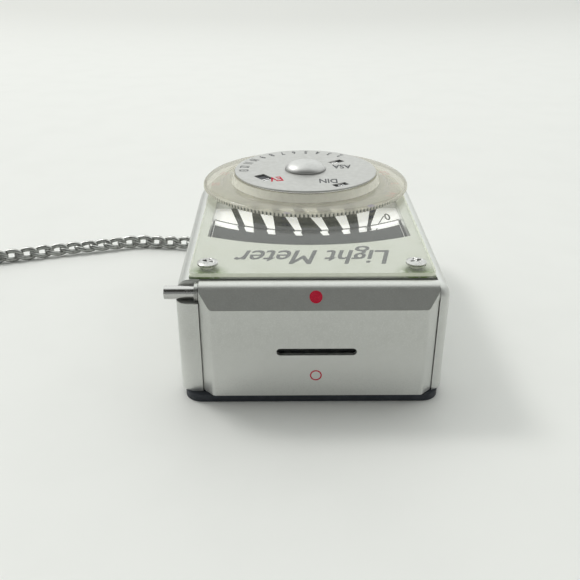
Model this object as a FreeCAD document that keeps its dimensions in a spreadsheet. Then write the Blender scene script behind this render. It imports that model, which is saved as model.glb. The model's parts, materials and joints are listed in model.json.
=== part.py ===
import FreeCAD, Part
import math
import os
import re
import Sketcher

# Selenium light meter: a pocket case with a hinged cover over its light cell,
# a needle window, a calculator dial and a chain.
# Frame: X across, Y from the cell end (-Y) to the dial end (+Y), Z up from the table.
# The origin is the middle of the case's underside. Millimetres and degrees.

DIMENSIONS = {
    "front_half": (22.5, "half the case's width at its front"),
    "front_face": (-35.8, "Y of the case's front, beside the flap"),
    "rear_radius": (23.5, "radius of the round rear end, about the dial's centre"),
    "dial_centre": (14.1, "Y of the dial's axis"),
    "corner_round": (2.4, "radius of the case's front corners"),
    "deck_round": (2.2, "radius of the case's top edge"),
    "wall": (1.2, "wall of the case"),
    "case_bottom": (1.2, "height of the case's lower edge"),
    "deck_top": (20.9, "height of the case's deck"),
    "cavity_front": (-33.7, "Y of the cavity's front wall"),
    "base_inset": (0.7, "how far the base stands in from the case's sides"),
    "base_front": (-37.3, "Y of the base's front"),
    "base_corner": (3.0, "radius of the base's front corners"),
    "lip_height": (1.2, "height of the base's lip inside the case"),
    "lip_front": (-32.0, "Y of the lip's front"),
    "fit_gap": (0.1, "gap between the lip and the case"),
    "post_radius": (2.2, "radius of the screw posts"),
    "screw_radius": (0.95, "radius of the small screws"),
    "screw_hole": (1.0, "radius of their holes"),
    "screw_head": (1.75, "radius of their heads"),
    "screw_slot": (0.4, "width of their slots"),
    "sink_depth": (1.0, "depth of the sinks for the base screws' heads"),
    "base_hole_top": (9.0, "height of the base screws' holes"),
    "deck_hole_foot": (14.0, "height of the foot of the cover screws' holes"),
    "cover_head_thick": (0.6, "thickness of the cover screws' heads"),
    "cover_shank": (7.0, "length of the cover screws' shanks"),
    "cross_reach": (1.1, "half the length of the cover screws' crosses"),
    "front_post_across": (17.6, "X of the front posts"),
    "front_post_along": (-28.6, "Y of the front posts"),
    "rear_post_across": (15.0, "X of the rear posts"),
    "rear_post_along": (24.5, "Y of the rear posts"),
    "plate_half": (20.4, "half the width of the name plate and of the clear cover"),
    "name_front": (-32.2, "Y of the name plate's front edge"),
    "name_thick": (0.4, "thickness of the name plate"),
    "cover_front": (-32.5, "Y of the clear cover's front edge"),
    "cover_thick": (0.7, "thickness of the clear cover"),
    "window_half": (19.0, "half the width of the needle window"),
    "window_reach": (43.9, "radius of the window's front edge about the needle's pivot"),
    "window_rear": (5.0, "Y of the window's rear edge"),
    "pivot_along": (25.0, "Y of the needle's pivot"),
    "scale_reach": (32.1, "radius of the upper scale's edge about the pivot"),
    "strip_reach": (43.2, "radius of the lower scale's edge about the pivot"),
    "scale_bottom": (19.2, "height of the upper scale's underside"),
    "strip_bottom": (18.4, "height of the lower scale's underside"),
    "sheet_thick": (0.3, "thickness of the scale sheets and of the needle"),
    "well_bottom": (16.4, "height of the dark well's underside"),
    "well_floor": (0.6, "thickness of the well's floor"),
    "rail_wide": (1.5, "width of the rails under the lower scale"),
    "rail_front": (-10.0, "Y of the rails' front ends"),
    "rail_long": (11.0, "length of the rails"),
    "needle_bottom": (18.8, "height of the needle's underside"),
    "needle_reach": (32.9, "length of the needle"),
    "needle_rest": (22.6, "angle of the needle at zero, from -Y towards +X"),
    "flap_face": (-37.5, "Y of the flap's face"),
    "flap_left": (-18.6, "X of the flap's left edge"),
    "flap_wide": (39.1, "width of the flap"),
    "flap_foot": (1.35, "height of the flap's lower edge"),
    "flap_bend": (17.67, "height at which the flap's face turns back"),
    "flap_depth": (2.3, "depth of the flap's side flanges"),
    "flap_sheet": (0.8, "thickness of the flap's sheet"),
    "slot_left": (-5.4, "X of the flap's slot"),
    "slot_wide": (12.0, "length of the flap's slot between its round ends"),
    "slot_up": (9.95, "height of the flap's slot"),
    "slot_radius": (0.65, "radius of the slot's round ends"),
    "flap_corner": (1.85, "chamfer of the flap's upright corners"),
    "flap_gap": (0.3, "gap behind and above the flap"),
    "side_gap": (0.12, "gap at the flap's sides"),
    "flange_slot": (2.3, "width of the slots for the flap's flanges"),
    "panel_depth": (2.1, "depth of the panel behind the flap, from the flap's face"),
    "hinge_along": (-33.92, "Y of the flap's hinge"),
    "hinge_up": (19.26, "height of the flap's hinge"),
    "barrel": (1.9, "radius of the flap's hinge barrel"),
    "barrel_gap": (0.45, "gap under the barrel"),
    "hinge_foot": (15.66, "height of the hinge block's underside"),
    "hinge_step": (18.26, "height of the hinge block's top"),
    "hinge_head": (20.16, "height of the wall behind the barrel"),
    "pin_radius": (1.1, "radius of the hinge pin"),
    "pin_end": (-24.3, "X of the hinge pin's free end"),
    "pin_hold": (5.0, "how far the hinge pin reaches into the flap"),
    "bush_left": (-19.35, "X of the pin's bush"),
    "bush_long": (0.6, "length of the bush"),
    "bush_radius": (1.6, "radius of the bush"),
    "pivot_radius": (0.6, "radius of the pivot pin"),
    "pivot_left": (18.9, "X of the pivot pin's inner end"),
    "pivot_long": (3.0, "length of the pivot pin"),
    "running_gap": (0.05, "radial clearance of what turns"),
    "cell_left": (-14.9, "X of the cell opening"),
    "cell_wide": (31.4, "width of the cell opening"),
    "cell_foot": (3.2, "height of the cell opening's lower edge"),
    "cell_high": (11.0, "height of the cell opening"),
    "cell_rebate": (1.3, "how far the lens laps behind the opening's edge"),
    "lens_front": (-35.3, "Y of the cell lens's front"),
    "lens_thick": (0.9, "thickness of the cell lens"),
    "cell_thick": (0.8, "thickness of the light cell"),
    "retainer_thick": (1.4, "thickness of the cell's retainer"),
    "retainer_frame": (2.4, "inset of the retainer's opening"),
    "leaf_wide": (3.0, "width of the contact springs"),
    "leaf_thick": (0.3, "thickness of the contact springs"),
    "leaf_low": (5.0, "height of the contact springs' lower ends"),
    "leaf_long": (7.0, "length of the contact springs"),
    "board_across": (-7.0, "X of the terminal board's left edge"),
    "board_along": (2.0, "Y of the terminal board's front edge"),
    "board_up": (2.5, "height of the terminal board's underside"),
    "board_wide": (14.0, "width of the terminal board"),
    "board_deep": (8.0, "depth of the terminal board"),
    "board_thick": (1.2, "thickness of the terminal board"),
    "bobbin_radius": (2.2, "radius of the resistor's winding"),
    "bobbin_long": (8.0, "length of the resistor's winding"),
    "bobbin_end": (0.6, "thickness of the resistor's flanges"),
    "lead_wire": (0.35, "radius of the leads"),
    "dial_radius": (22.5, "radius of the clear dial"),
    "dial_bottom": (22.55, "height of the clear dial's underside"),
    "dial_rim": (23.7, "height of the clear dial's flange"),
    "boss_radius": (16.3, "radius of the clear dial's boss"),
    "boss_top": (25.15, "height of the clear dial's boss"),
    "disc_radius": (15.6, "radius of the silver film speed disc"),
    "disc_bottom": (25.4, "height of the silver disc's underside"),
    "disc_thick": (0.3, "thickness of the silver disc"),
    "post_core": (2.0, "radius of the dial's post"),
    "cap_radius": (4.55, "radius of the domed cap"),
    "cap_rise": (1.8, "height of the domed cap"),
    "washer_thick": (0.5, "thickness of the dial's friction washer"),
    "yoke_outer": (9.5, "outer radius of the magnet's yoke"),
    "yoke_inner": (7.9, "inner radius of the magnet's yoke"),
    "core_radius": (5.5, "radius of the core magnet"),
    "magnet_bottom": (5.5, "height of the magnet's underside"),
    "magnet_high": (8.0, "height of the magnet"),
    "frame_half": (12.0, "half the width of the movement plate and of the bridge"),
    "frame_deep": (17.0, "depth of the movement plate"),
    "frame_front": (10.0, "from the pivot to the movement plate's front edge"),
    "frame_thick": (0.8, "thickness of the movement plate and of the bridge"),
    "bridge_bottom": (16.2, "height of the bridge's underside"),
    "bridge_deep": (3.6, "depth of the bridge"),
    "pillar_across": (10.9, "X of the right pillar"),
    "pillar_radius": (1.1, "radius of the pillars"),
    "upper_jewel": (1.2, "radius of the upper jewel"),
    "lower_jewel": (1.5, "radius of the lower jewel"),
    "jewel_bore": (0.45, "radius of the jewels' bores"),
    "staff_radius": (0.4, "radius of the needle's staff"),
    "former_half": (7.2, "half the width of the moving coil"),
    "former_deep": (3.0, "depth of the moving coil"),
    "former_foot": (4.1, "height of the moving coil's underside"),
    "former_high": (10.8, "height of the moving coil"),
    "former_side": (1.0, "thickness of the moving coil's sides"),
    "former_end": (0.8, "thickness of the moving coil's top and bottom"),
    "hairspring_radius": (2.4, "radius of the hairsprings"),
    "needle_wide": (0.4, "width of the needle"),
    "tail_wide": (1.2, "width of the needle's tail"),
    "tail_long": (4.0, "length of the needle's tail"),
    "hub_radius": (1.1, "radius of the needle's hub"),
    "hub_thick": (0.45, "thickness of the needle's hub"),
    "adjuster_radius": (2.0, "radius of the zero adjuster"),
    "adjuster_slot": (0.6, "width of the zero adjuster's slot"),
    "lug_half": (1.5, "half the width of the chain's lug"),
    "lug_thick": (1.0, "thickness of the lug"),
    "lug_eye": (0.75, "radius of the lug's eye"),
    "lug_angle": (145.0, "angle of the chain's lug about the dial's centre"),
    "lug_reach": (25.3, "radius of the lug's eye about the dial's centre"),
    "lug_bottom": (3.6, "height of the lug's underside"),
    "ring_radius": (2.4, "radius of the jump ring's centre line"),
    "ring_wire": (0.45, "radius of the jump ring's wire"),
    "ring_tilt": (20.0, "fall of the jump ring from the lug"),
    "chain_radius": (1.5, "half the width of the chain"),
    "coil_across": (-89.0, "X of the put-away coil's centre"),
    "coil_along": (-1.5, "Y of the put-away coil's centre"),
    "coil_inner": (10.0, "inner radius of the put-away coil"),
    "coil_outer": (20.6, "outer radius of the put-away coil"),
    "coil_high": (3.2, "height of the put-away coil"),
    "end_ring_reach": (6.6, "radius of the chain's end ring about the coil's centre"),
    "end_ring_angle": (212.0, "angle of the chain's end ring about the coil's centre"),
    "end_ring_radius": (2.6, "radius of the chain's end ring"),
    "end_ring_wire": (0.65, "radius of the end ring's wire"),
}

# The chain's run from the jump ring to its coil, a hand's width of gentle curves on the table.
CHAIN_ROUTE = [
    (-25.3, 28.6, 2.3),
    (-29.8, 29.9, 1.7),
    (-35.5, 30.3, 1.6),
    (-42.0, 31.4, 1.6),
    (-51.0, 28.7, 1.6),
    (-60.5, 26.2, 1.6),
    (-70.0, 22.7, 1.6),
    (-79.0, 20.1, 1.6),
    (-86.5, 17.8, 1.6),
]

doc = FreeCAD.newDocument("light_meter")
sheet = doc.addObject("Spreadsheet::Sheet", "Dims")
parts = []


def fill_sheet():
    for row, (alias, (number, note)) in enumerate(DIMENSIONS.items(), start=1):
        sheet.set(f"A{row}", alias)
        sheet.set(f"B{row}", str(number))
        sheet.setAlias(f"B{row}", alias)
        sheet.set(f"C{row}", note)
    doc.recompute()


def formula(text):
    """The text with each dimension's name pointed at its cell."""
    return re.sub(r"[a-z_]+", lambda word: "Dims." + word[0] if word[0] in DIMENSIONS else word[0], str(text))


def size(text):
    """The value of a formula in millimetres."""
    return float(sheet.evalExpression(formula(text)))


def bind(thing, **formulas):
    for name, text in formulas.items():
        thing.setExpression(name.replace("__", "."), formula(text))


def place(thing, x=0, y=0, z=0):
    bind(thing, Placement__Base__x=x, Placement__Base__y=y, Placement__Base__z=z)


def finish(thing, label):
    thing.Label = label
    parts.append(thing)
    return thing


# Sketches whose points are held by formulas.

def hold_point(sketch, geometry, end, x, y):
    for kind, text, axis in (("DistanceX", x, -2), ("DistanceY", y, -1)):
        distance = size(text)
        if abs(distance) < 1e-6:
            sketch.addConstraint(Sketcher.Constraint("PointOnObject", geometry, end, axis))
            continue
        index = sketch.addConstraint(Sketcher.Constraint(kind, -1, 1, geometry, end, distance))
        sketch.setExpression(f"Constraints[{index}]", formula(text))


def hold_radius(sketch, geometry, radius):
    index = sketch.addConstraint(Sketcher.Constraint("Radius", geometry, size(radius)))
    sketch.setExpression(f"Constraints[{index}]", formula(radius))


def polygon(corners):
    def draw(sketch):
        points = [FreeCAD.Vector(size(x), size(y), 0) for x, y in corners]
        count = len(points)
        first = sketch.GeometryCount
        for index in range(count):
            sketch.addGeometry(Part.LineSegment(points[index], points[(index + 1) % count]))
        for index in range(count):
            follower = first + (index + 1) % count
            sketch.addConstraint(Sketcher.Constraint("Coincident", first + index, 2, follower, 1))
        for index, (x, y) in enumerate(corners):
            hold_point(sketch, first + index, 1, x, y)
    return draw


def circle(x, y, radius):
    def draw(sketch):
        centre = FreeCAD.Vector(size(x), size(y), 0)
        index = sketch.addGeometry(Part.Circle(centre, FreeCAD.Vector(0, 0, 1), size(radius)))
        hold_point(sketch, index, 3, x, y)
        hold_radius(sketch, index, radius)
    return draw


def case_outline(half, front, radius):
    """A straight front, two straight sides and a round rear end about the dial's centre."""
    def draw(sketch):
        centre = FreeCAD.Vector(0, size("dial_centre"), 0)
        corner = FreeCAD.Vector(size(half), size(front), 0)
        away = corner - centre
        start = math.atan2(away.y, away.x) + math.acos(size(radius) / away.Length)
        ring = Part.Circle(centre, FreeCAD.Vector(0, 0, 1), size(radius))
        arc = Part.ArcOfCircle(ring, start, math.pi - start)
        mirrored = FreeCAD.Vector(-corner.x, corner.y, 0)
        first = sketch.GeometryCount
        sketch.addGeometry(Part.LineSegment(mirrored, corner))
        sketch.addGeometry(Part.LineSegment(corner, arc.StartPoint))
        sketch.addGeometry(arc)
        sketch.addGeometry(Part.LineSegment(arc.EndPoint, mirrored))
        sketch.addConstraint(Sketcher.Constraint("Coincident", first, 2, first + 1, 1))
        sketch.addConstraint(Sketcher.Constraint("Tangent", first + 1, 2, first + 2, 1))
        sketch.addConstraint(Sketcher.Constraint("Tangent", first + 2, 2, first + 3, 1))
        sketch.addConstraint(Sketcher.Constraint("Coincident", first + 3, 2, first, 1))
        hold_point(sketch, first, 1, f"-({half})", front)
        hold_point(sketch, first, 2, half, front)
        hold_point(sketch, first + 2, 3, 0, "dial_centre")
        hold_radius(sketch, first + 2, radius)
    return draw


def fan_outline(half, reach, rear):
    """Straight sides and rear, and a front edge that is an arc about the needle's pivot."""
    def draw(sketch):
        pivot = FreeCAD.Vector(0, size("pivot_along"), 0)
        dip = math.sqrt(size(reach) ** 2 - size(half) ** 2)
        left = FreeCAD.Vector(-size(half), pivot.y - dip, 0)
        right = FreeCAD.Vector(size(half), pivot.y - dip, 0)
        back_right = FreeCAD.Vector(size(half), size(rear), 0)
        back_left = FreeCAD.Vector(-size(half), size(rear), 0)
        turn = math.atan2(-dip, -size(half))
        ring = Part.Circle(pivot, FreeCAD.Vector(0, 0, 1), size(reach))
        first = sketch.GeometryCount
        sketch.addGeometry(Part.ArcOfCircle(ring, turn, -math.pi - turn))
        sketch.addGeometry(Part.LineSegment(right, back_right))
        sketch.addGeometry(Part.LineSegment(back_right, back_left))
        sketch.addGeometry(Part.LineSegment(back_left, left))
        for index in range(4):
            follower = first + (index + 1) % 4
            sketch.addConstraint(Sketcher.Constraint("Coincident", first + index, 2, follower, 1))
        for side in (1, 3):
            sketch.addConstraint(Sketcher.Constraint("Vertical", first + side))
        hold_point(sketch, first, 3, 0, "pivot_along")
        hold_radius(sketch, first, reach)
        hold_point(sketch, first + 2, 1, half, rear)
        hold_point(sketch, first + 2, 2, f"-({half})", rear)
    return draw


# Part design bodies.

def new_body(name):
    return doc.addObject("PartDesign::Body", name)


def new_sketch(body, name, plane, offset, *drawings):
    sketch = body.newObject("Sketcher::SketchObject", name)
    origin_plane = next(item for item in body.Origin.OriginFeatures if item.Role == plane)
    sketch.AttachmentSupport = [(origin_plane, "")]
    sketch.MapMode = "FlatFace"
    bind(sketch, AttachmentOffset__Base__z=offset)
    for draw in drawings:
        draw(sketch)
    return sketch


def pad(name, plane, offset, length, *drawings):
    body = new_body(name)
    sketch = new_sketch(body, name + "_sketch", plane, offset, *drawings)
    feature = body.newObject("PartDesign::Pad", name + "_pad")
    feature.Profile = sketch
    bind(feature, Length=length)
    doc.recompute()
    return body


def revolve(name, corners):
    """A body of revolution about its own Z axis: each corner is a radius and a height."""
    body = new_body(name)
    sketch = new_sketch(body, name + "_sketch", "XZ_Plane", 0, polygon(corners))
    feature = body.newObject("PartDesign::Revolution", name + "_turn")
    feature.Profile = sketch
    feature.ReferenceAxis = (sketch, ["V_Axis"])
    feature.Angle = 360
    doc.recompute()
    return body


def pocket(body, name, offset, depth, *drawings):
    """A pocket cut downwards from the given height."""
    before = body.Shape.Volume
    sketch = new_sketch(body, name + "_sketch", "XY_Plane", offset, *drawings)
    feature = body.newObject("PartDesign::Pocket", name + "_pocket")
    feature.Profile = sketch
    bind(feature, Length=depth)
    doc.recompute()
    if body.Shape.Volume >= before:
        raise RuntimeError(f"{name} cut nothing")
    return body


def round_edges(body, name, radius, wanted, kind="Fillet"):
    """Rounds or chamfers the edges of the body's tip that the test picks."""
    tip = body.Tip
    edges = [f"Edge{index}" for index, edge in enumerate(tip.Shape.Edges, start=1) if wanted(edge)]
    feature = body.newObject("PartDesign::" + kind, name)
    feature.Base = (tip, edges)
    bind(feature, **{"Radius" if kind == "Fillet" else "Size": radius})
    doc.recompute()
    return body


def upright_at(y):
    """A test for upright edges at one Y."""
    def wanted(edge):
        box = edge.BoundBox
        return box.ZLength > 5 and box.XLength < 0.01 and abs(box.Center.y - size(y)) < 0.01
    return wanted


def level_at(z):
    """A test for edges that lie flat at one height."""
    def wanted(edge):
        box = edge.BoundBox
        return box.ZLength < 0.01 and abs(box.Center.z - size(z)) < 0.01
    return wanted


# Primitives and booleans.

def box(name, x, y, z, length, width, height):
    thing = doc.addObject("Part::Box", name)
    bind(thing, Length=length, Width=width, Height=height)
    place(thing, x, y, z)
    return thing


def cylinder(name, x, y, z, radius, height, along="Z"):
    thing = doc.addObject("Part::Cylinder", name)
    bind(thing, Radius=radius, Height=height)
    turns = {"X": FreeCAD.Vector(1, 0, 0), "Y": FreeCAD.Vector(0, 1, 0), "Z": FreeCAD.Vector(0, 0, 1)}
    thing.Placement.Rotation = FreeCAD.Rotation(FreeCAD.Vector(0, 0, 1), turns[along])
    place(thing, x, y, z)
    return thing


def fuse(name, *things):
    thing = doc.addObject("Part::MultiFuse", name)
    thing.Shapes = list(things)
    thing.Refine = True
    return thing


def cut(name, base, *tools):
    thing = doc.addObject("Part::Cut", name)
    thing.Base = base
    thing.Tool = tools[0] if len(tools) == 1 else fuse(name + "_tools", *tools)
    thing.Refine = True
    return thing


def group(name, *things):
    thing = doc.addObject("Part::Compound", name)
    thing.Links = list(things)
    return thing


POSTS = [
    ("left_front", "-front_post_across", "front_post_along"),
    ("right_front", "front_post_across", "front_post_along"),
    ("left_rear", "-rear_post_across", "rear_post_along"),
    ("right_rear", "rear_post_across", "rear_post_along"),
]


# The case.

def make_base():
    half = "front_half - base_inset"
    plate = pad("base_plate", "XY_Plane", 0, "case_bottom",
                case_outline(half, "base_front", "rear_radius - base_inset"))
    round_edges(plate, "base_corners", "base_corner", lambda edge: edge.BoundBox.ZLength > 1
                and edge.BoundBox.XLength < 0.01 and edge.BoundBox.Center.y < size("cavity_front"))
    lip = pad("base_lip", "XY_Plane", "case_bottom", "lip_height",
              case_outline("front_half - wall - fit_gap", "lip_front",
                           "rear_radius - wall - fit_gap"))
    holes = []
    for side, x, y in POSTS:
        holes.append(cylinder("base_hole_" + side, x, y, 0, "screw_hole", "case_bottom + lip_height"))
        holes.append(cylinder("base_sink_" + side, x, y, 0, "screw_head + fit_gap", "sink_depth"))
    holes.append(cylinder("adjuster_hole", 0, "pivot_along", 0, "adjuster_radius + running_gap",
                          "case_bottom + lip_height"))
    return finish(cut("base_body", fuse("base_solid", plate, lip), *holes), "base")


def make_housing():
    outer = pad("housing_outer", "XY_Plane", "case_bottom", "deck_top - case_bottom",
                case_outline("front_half", "front_face", "rear_radius"))
    round_edges(outer, "housing_corners", "corner_round", upright_at("front_face"))
    round_edges(outer, "housing_top", "deck_round", level_at("deck_top"))
    pocket(outer, "housing_cavity", "deck_top - wall", "deck_top",
           case_outline("front_half - wall", "cavity_front", "rear_radius - wall"))
    pocket(outer, "deck_window", "deck_top", "wall",
           fan_outline("window_half + fit_gap", "window_reach + fit_gap", "window_rear + fit_gap"))
    channel_rear = "hinge_along + barrel + flap_gap"
    block = box("hinge_block", "-(front_half - wall)", "cavity_front", "hinge_foot",
                "2 * (front_half - wall)", f"{channel_rear} + wall - cavity_front", "hinge_step - hinge_foot")
    wall_block = box("hinge_wall", "-(front_half - wall)", channel_rear, "hinge_foot",
                     "2 * (front_half - wall)", "wall", "hinge_head - hinge_foot")
    posts = []
    holes = []
    for side, x, y in POSTS:
        post_bottom = "case_bottom + lip_height"
        posts.append(cylinder("post_" + side, x, y, post_bottom, "post_radius",
                              "deck_top - wall / 2 - case_bottom - lip_height"))
        holes.append(cylinder("post_hole_" + side, x, y, 0, "screw_hole", "base_hole_top"))
    for side, x in (("left", "-front_post_across"), ("right", "front_post_across")):
        holes.append(cylinder("deck_hole_" + side, x, "front_post_along", "deck_hole_foot", "screw_hole",
                              "deck_top - deck_hole_foot + 1"))
    holes.append(cylinder("dial_post_hole", 0, "dial_centre", "deck_top - wall - 1", "post_core", "wall + 2"))
    left = "flap_left - side_gap"
    wide = "flap_wide + 2 * side_gap"
    front = "flap_face - 1"
    channel_floor = "hinge_up - barrel - barrel_gap"
    holes.append(box("panel_cut", left, front, 0, wide, "panel_depth", channel_floor))
    holes.append(box("channel_cut", left, front, channel_floor, wide,
                     f"{channel_rear} - ({front})", 6))
    flange_deep = "flap_depth + flap_gap + 1"
    holes.append(box("left_flange_slot", left, front, 0, "flange_slot", flange_deep, channel_floor))
    holes.append(box("right_flange_slot", "flap_left + flap_wide + side_gap - flange_slot", front, 0,
                     "flange_slot", flange_deep, channel_floor))
    holes.append(box("pin_notch", "pin_end - 1", front, "hinge_up - pin_radius - side_gap",
                     f"{left} - pin_end + 1.01", f"hinge_along + pin_radius + flap_gap - ({front})", 5))
    holes.append(cylinder("bush_hole", "bush_left", "hinge_along", "hinge_up", "bush_radius", 1, "X"))
    holes.append(cylinder("pivot_hole", "flap_left + flap_wide", "hinge_along", "hinge_up", "pivot_radius",
                          "pivot_left + pivot_long - flap_left - flap_wide", "X"))
    holes.append(box("cell_opening", "cell_left", front, "cell_foot", "cell_wide", 6, "cell_high"))
    holes.append(box("cell_rebate_cut", "cell_left - cell_rebate", "lens_front",
                     "cell_foot - cell_rebate", "cell_wide + 2 * cell_rebate",
                     "cavity_front - lens_front + 0.1", "cell_high + 2 * cell_rebate"))
    solid = fuse("housing_solid", outer, block, wall_block, *posts)
    return finish(cut("housing_body", solid, *holes), "housing")


def make_screws():
    base_screws = []
    for side, x, y in POSTS:
        head = cylinder("base_head_" + side, x, y, 0.1, "screw_head", 0.8)
        shank = cylinder("base_shank_" + side, x, y, 0.5, "screw_radius", 7.5)
        slot = box("base_slot_" + side, f"{x} - screw_head - 0.1", f"{y} - screw_slot / 2", 0,
                   "2 * screw_head + 0.2", "screw_slot", 0.45)
        base_screws.append(cut("base_screw_" + side, fuse("base_blank_" + side, head, shank), slot))
    finish(group("base_screw_group", *base_screws), "base_screws")
    top = "deck_top + name_thick + cover_thick"
    cover_screws = []
    for side, x in (("left", "-front_post_across"), ("right", "front_post_across")):
        y = "front_post_along"
        head = cylinder("cover_head_" + side, x, y, top, "screw_head", "cover_head_thick")
        shank = cylinder("cover_shank_" + side, x, y, f"{top} - cover_shank", "screw_radius",
                         "cover_shank + cover_head_thick / 3")
        arm = box("cover_arm_" + side, f"{x} - cross_reach", f"{y} - screw_slot / 2",
                  f"{top} + cover_head_thick / 3", "2 * cross_reach", "screw_slot", 1)
        cross = box("cover_cross_" + side, f"{x} - screw_slot / 2", f"{y} - cross_reach",
                    f"{top} + cover_head_thick / 3", "screw_slot", "2 * cross_reach", 1)
        blank = fuse("cover_blank_" + side, head, shank)
        cover_screws.append(cut("cover_screw_" + side, blank, arm, cross))
    return finish(group("cover_screw_group", *cover_screws), "cover_screws")


def screw_and_post_holes():
    return [
        circle("-front_post_across", "front_post_along", "screw_hole"),
        circle("front_post_across", "front_post_along", "screw_hole"),
        circle(0, "dial_centre", "post_core"),
    ]


def make_name_plate():
    plate = pad("name_plate_body", "XY_Plane", "deck_top", "name_thick",
                case_outline("plate_half", "name_front", "plate_half + 0.6"))
    pocket(plate, "plate_window", "deck_top + name_thick", "name_thick",
           fan_outline("window_half", "window_reach", "window_rear"))
    pocket(plate, "plate_holes", "deck_top + name_thick", "name_thick", *screw_and_post_holes())
    return finish(plate, "name_plate")


def make_cover():
    cover = pad("cover_body", "XY_Plane", "deck_top + name_thick", "cover_thick",
                case_outline("plate_half", "cover_front", "plate_half + 0.6"))
    round_edges(cover, "cover_corners", 1.2, lambda edge: edge.BoundBox.ZLength > 0.5
                and edge.BoundBox.XLength < 0.01 and edge.BoundBox.Center.y < size("name_front"))
    pocket(cover, "cover_holes", "deck_top + name_thick + cover_thick", "cover_thick",
           *screw_and_post_holes())
    return finish(cover, "cover_plate")


# The needle's window.

def make_scales():
    upper = pad("scale_body", "XY_Plane", "scale_bottom", "sheet_thick",
                fan_outline("window_half + 0.5", "scale_reach", "window_rear + 4"))
    finish(upper, "scale_plate")
    lower = pad("strip_body", "XY_Plane", "strip_bottom", "sheet_thick",
                fan_outline("window_half", "strip_reach", "window_rear - 3"))
    return finish(lower, "lower_scale")


def make_well():
    """A dark tray under the window, open at the rear for the needle."""
    high = "deck_top - wall - well_bottom"
    tray = pad("well_body", "XY_Plane", "well_bottom", high,
               fan_outline("window_half + 1.4", "window_reach + 0.8", "window_rear - 3"))
    pocket(tray, "well_hollow", "deck_top - wall", f"{high} - well_floor",
           fan_outline("window_half + 0.6", "window_reach", "window_rear"))
    rails = []
    rail_foot = "well_bottom + well_floor / 2"
    for side, x in (("left", "-window_half"), ("right", "window_half - rail_wide")):
        rails.append(box("rail_" + side, x, "rail_front", rail_foot, "rail_wide", "rail_long",
                         f"strip_bottom - ({rail_foot})"))
    return finish(fuse("well_solid", tray, *rails), "scale_well")


# The flap over the cell.

def flap_barrel(name, radius, x, length):
    return cylinder(name, x, "hinge_along", "hinge_up", radius, length, "X")


def make_flap():
    """A pressed cover with side flanges, rolled into a hinge barrel along its top."""
    tangent_along = "hinge_along - 1.52"
    tangent_up = "hinge_up + 1.14"
    shell = pad("flap_shell", "YZ_Plane", "flap_left", "flap_wide", polygon([
        ("flap_face", "flap_foot"),
        ("flap_face + flap_depth", "flap_foot"),
        ("flap_face + flap_depth", "flap_bend - 0.7"),
        ("hinge_along", "hinge_up"),
        (tangent_along, tangent_up),
        ("flap_face", "flap_bend"),
    ]))
    round_edges(shell, "flap_corners", "flap_corner", upright_at("flap_face"), "Chamfer")
    round_edges(shell, "flap_corner_rounds", 1, upright_at("flap_face"))
    hollow = pad("flap_hollow", "YZ_Plane", "flap_left + flap_sheet", "flap_wide - 2 * flap_sheet", polygon([
        ("flap_face + flap_sheet", 0),
        ("flap_face + 4", 0),
        ("flap_face + 4", "hinge_up"),
        (f"{tangent_along} + 0.3", "hinge_up"),
        ("flap_face + flap_sheet", "flap_bend - 0.3"),
    ]))
    round_edges(hollow, "hollow_corners", "flap_corner - flap_sheet / 2",
                upright_at("flap_face + flap_sheet"), "Chamfer")
    slot = box("flap_slot", "slot_left", "flap_face - 1", "slot_up - slot_radius", "slot_wide", 3,
               "2 * slot_radius")
    slot_left = cylinder("flap_slot_left", "slot_left", "flap_face - 1", "slot_up", "slot_radius", 3, "Y")
    slot_right = cylinder("flap_slot_right", "slot_left + slot_wide", "flap_face - 1", "slot_up",
                          "slot_radius", 3, "Y")
    sheet_metal = cut("flap_sheet_metal", shell, hollow, slot, slot_left, slot_right)
    barrel = flap_barrel("flap_barrel", "barrel", "flap_left", "flap_wide")
    pin_bore = flap_barrel("flap_pin_bore", "pin_radius", "flap_left - 1", "pin_hold + 1")
    pivot_bore = flap_barrel("flap_pivot_bore", "pivot_radius + running_gap", "pivot_left - flap_gap", 4)
    solid = fuse("flap_solid", sheet_metal, barrel)
    return finish(cut("flap_body", solid, pin_bore, pivot_bore), "flap")


def make_hinge():
    pin = flap_barrel("hinge_pin_rod", "pin_radius", "pin_end", "flap_left + pin_hold - pin_end")
    finish(pin, "hinge_pin")
    ring = flap_barrel("bush_ring", "bush_radius", "bush_left", "bush_long")
    bore = flap_barrel("bush_bore", "pin_radius + running_gap", "flap_left - 1", 2)
    finish(cut("bush_body", ring, bore), "pivot_bush")
    return finish(flap_barrel("pivot_rod", "pivot_radius", "pivot_left", "pivot_long"), "pivot_pin")


# The light cell behind the flap.

def cell_slab(name, y, thickness, inset=0.2):
    return box(name, f"cell_left - cell_rebate + {inset}", y, f"cell_foot - cell_rebate + {inset}",
               f"cell_wide + 2 * (cell_rebate - {inset})", thickness,
               f"cell_high + 2 * (cell_rebate - {inset})")


def make_cell():
    rear = "lens_front + lens_thick + cell_thick"
    finish(cell_slab("lens_slab", "lens_front", "lens_thick"), "cell_lens")
    finish(cell_slab("cell_plate", "lens_front + lens_thick", "cell_thick"), "selenium_cell")
    block = cell_slab("retainer_block", rear, "retainer_thick")
    hole = cell_slab("retainer_hole", f"{rear} - 0.2", "retainer_thick + 0.6", "retainer_frame")
    finish(cut("retainer_body", block, hole), "cell_retainer")
    leaves = []
    for side, x in (("left", "cell_left + 4"), ("right", "cell_left + cell_wide - 4 - leaf_wide")):
        leaf = box("leaf_" + side, x, rear, "leaf_low", "leaf_wide", "leaf_thick", "leaf_long")
        foot = box("leaf_foot_" + side, x, rear, "leaf_low + leaf_long", "leaf_wide", "leaf_wide", "leaf_thick")
        leaves.append(fuse("contact_" + side, leaf, foot))
    return finish(group("contact_group", *leaves), "contact_springs")


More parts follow.
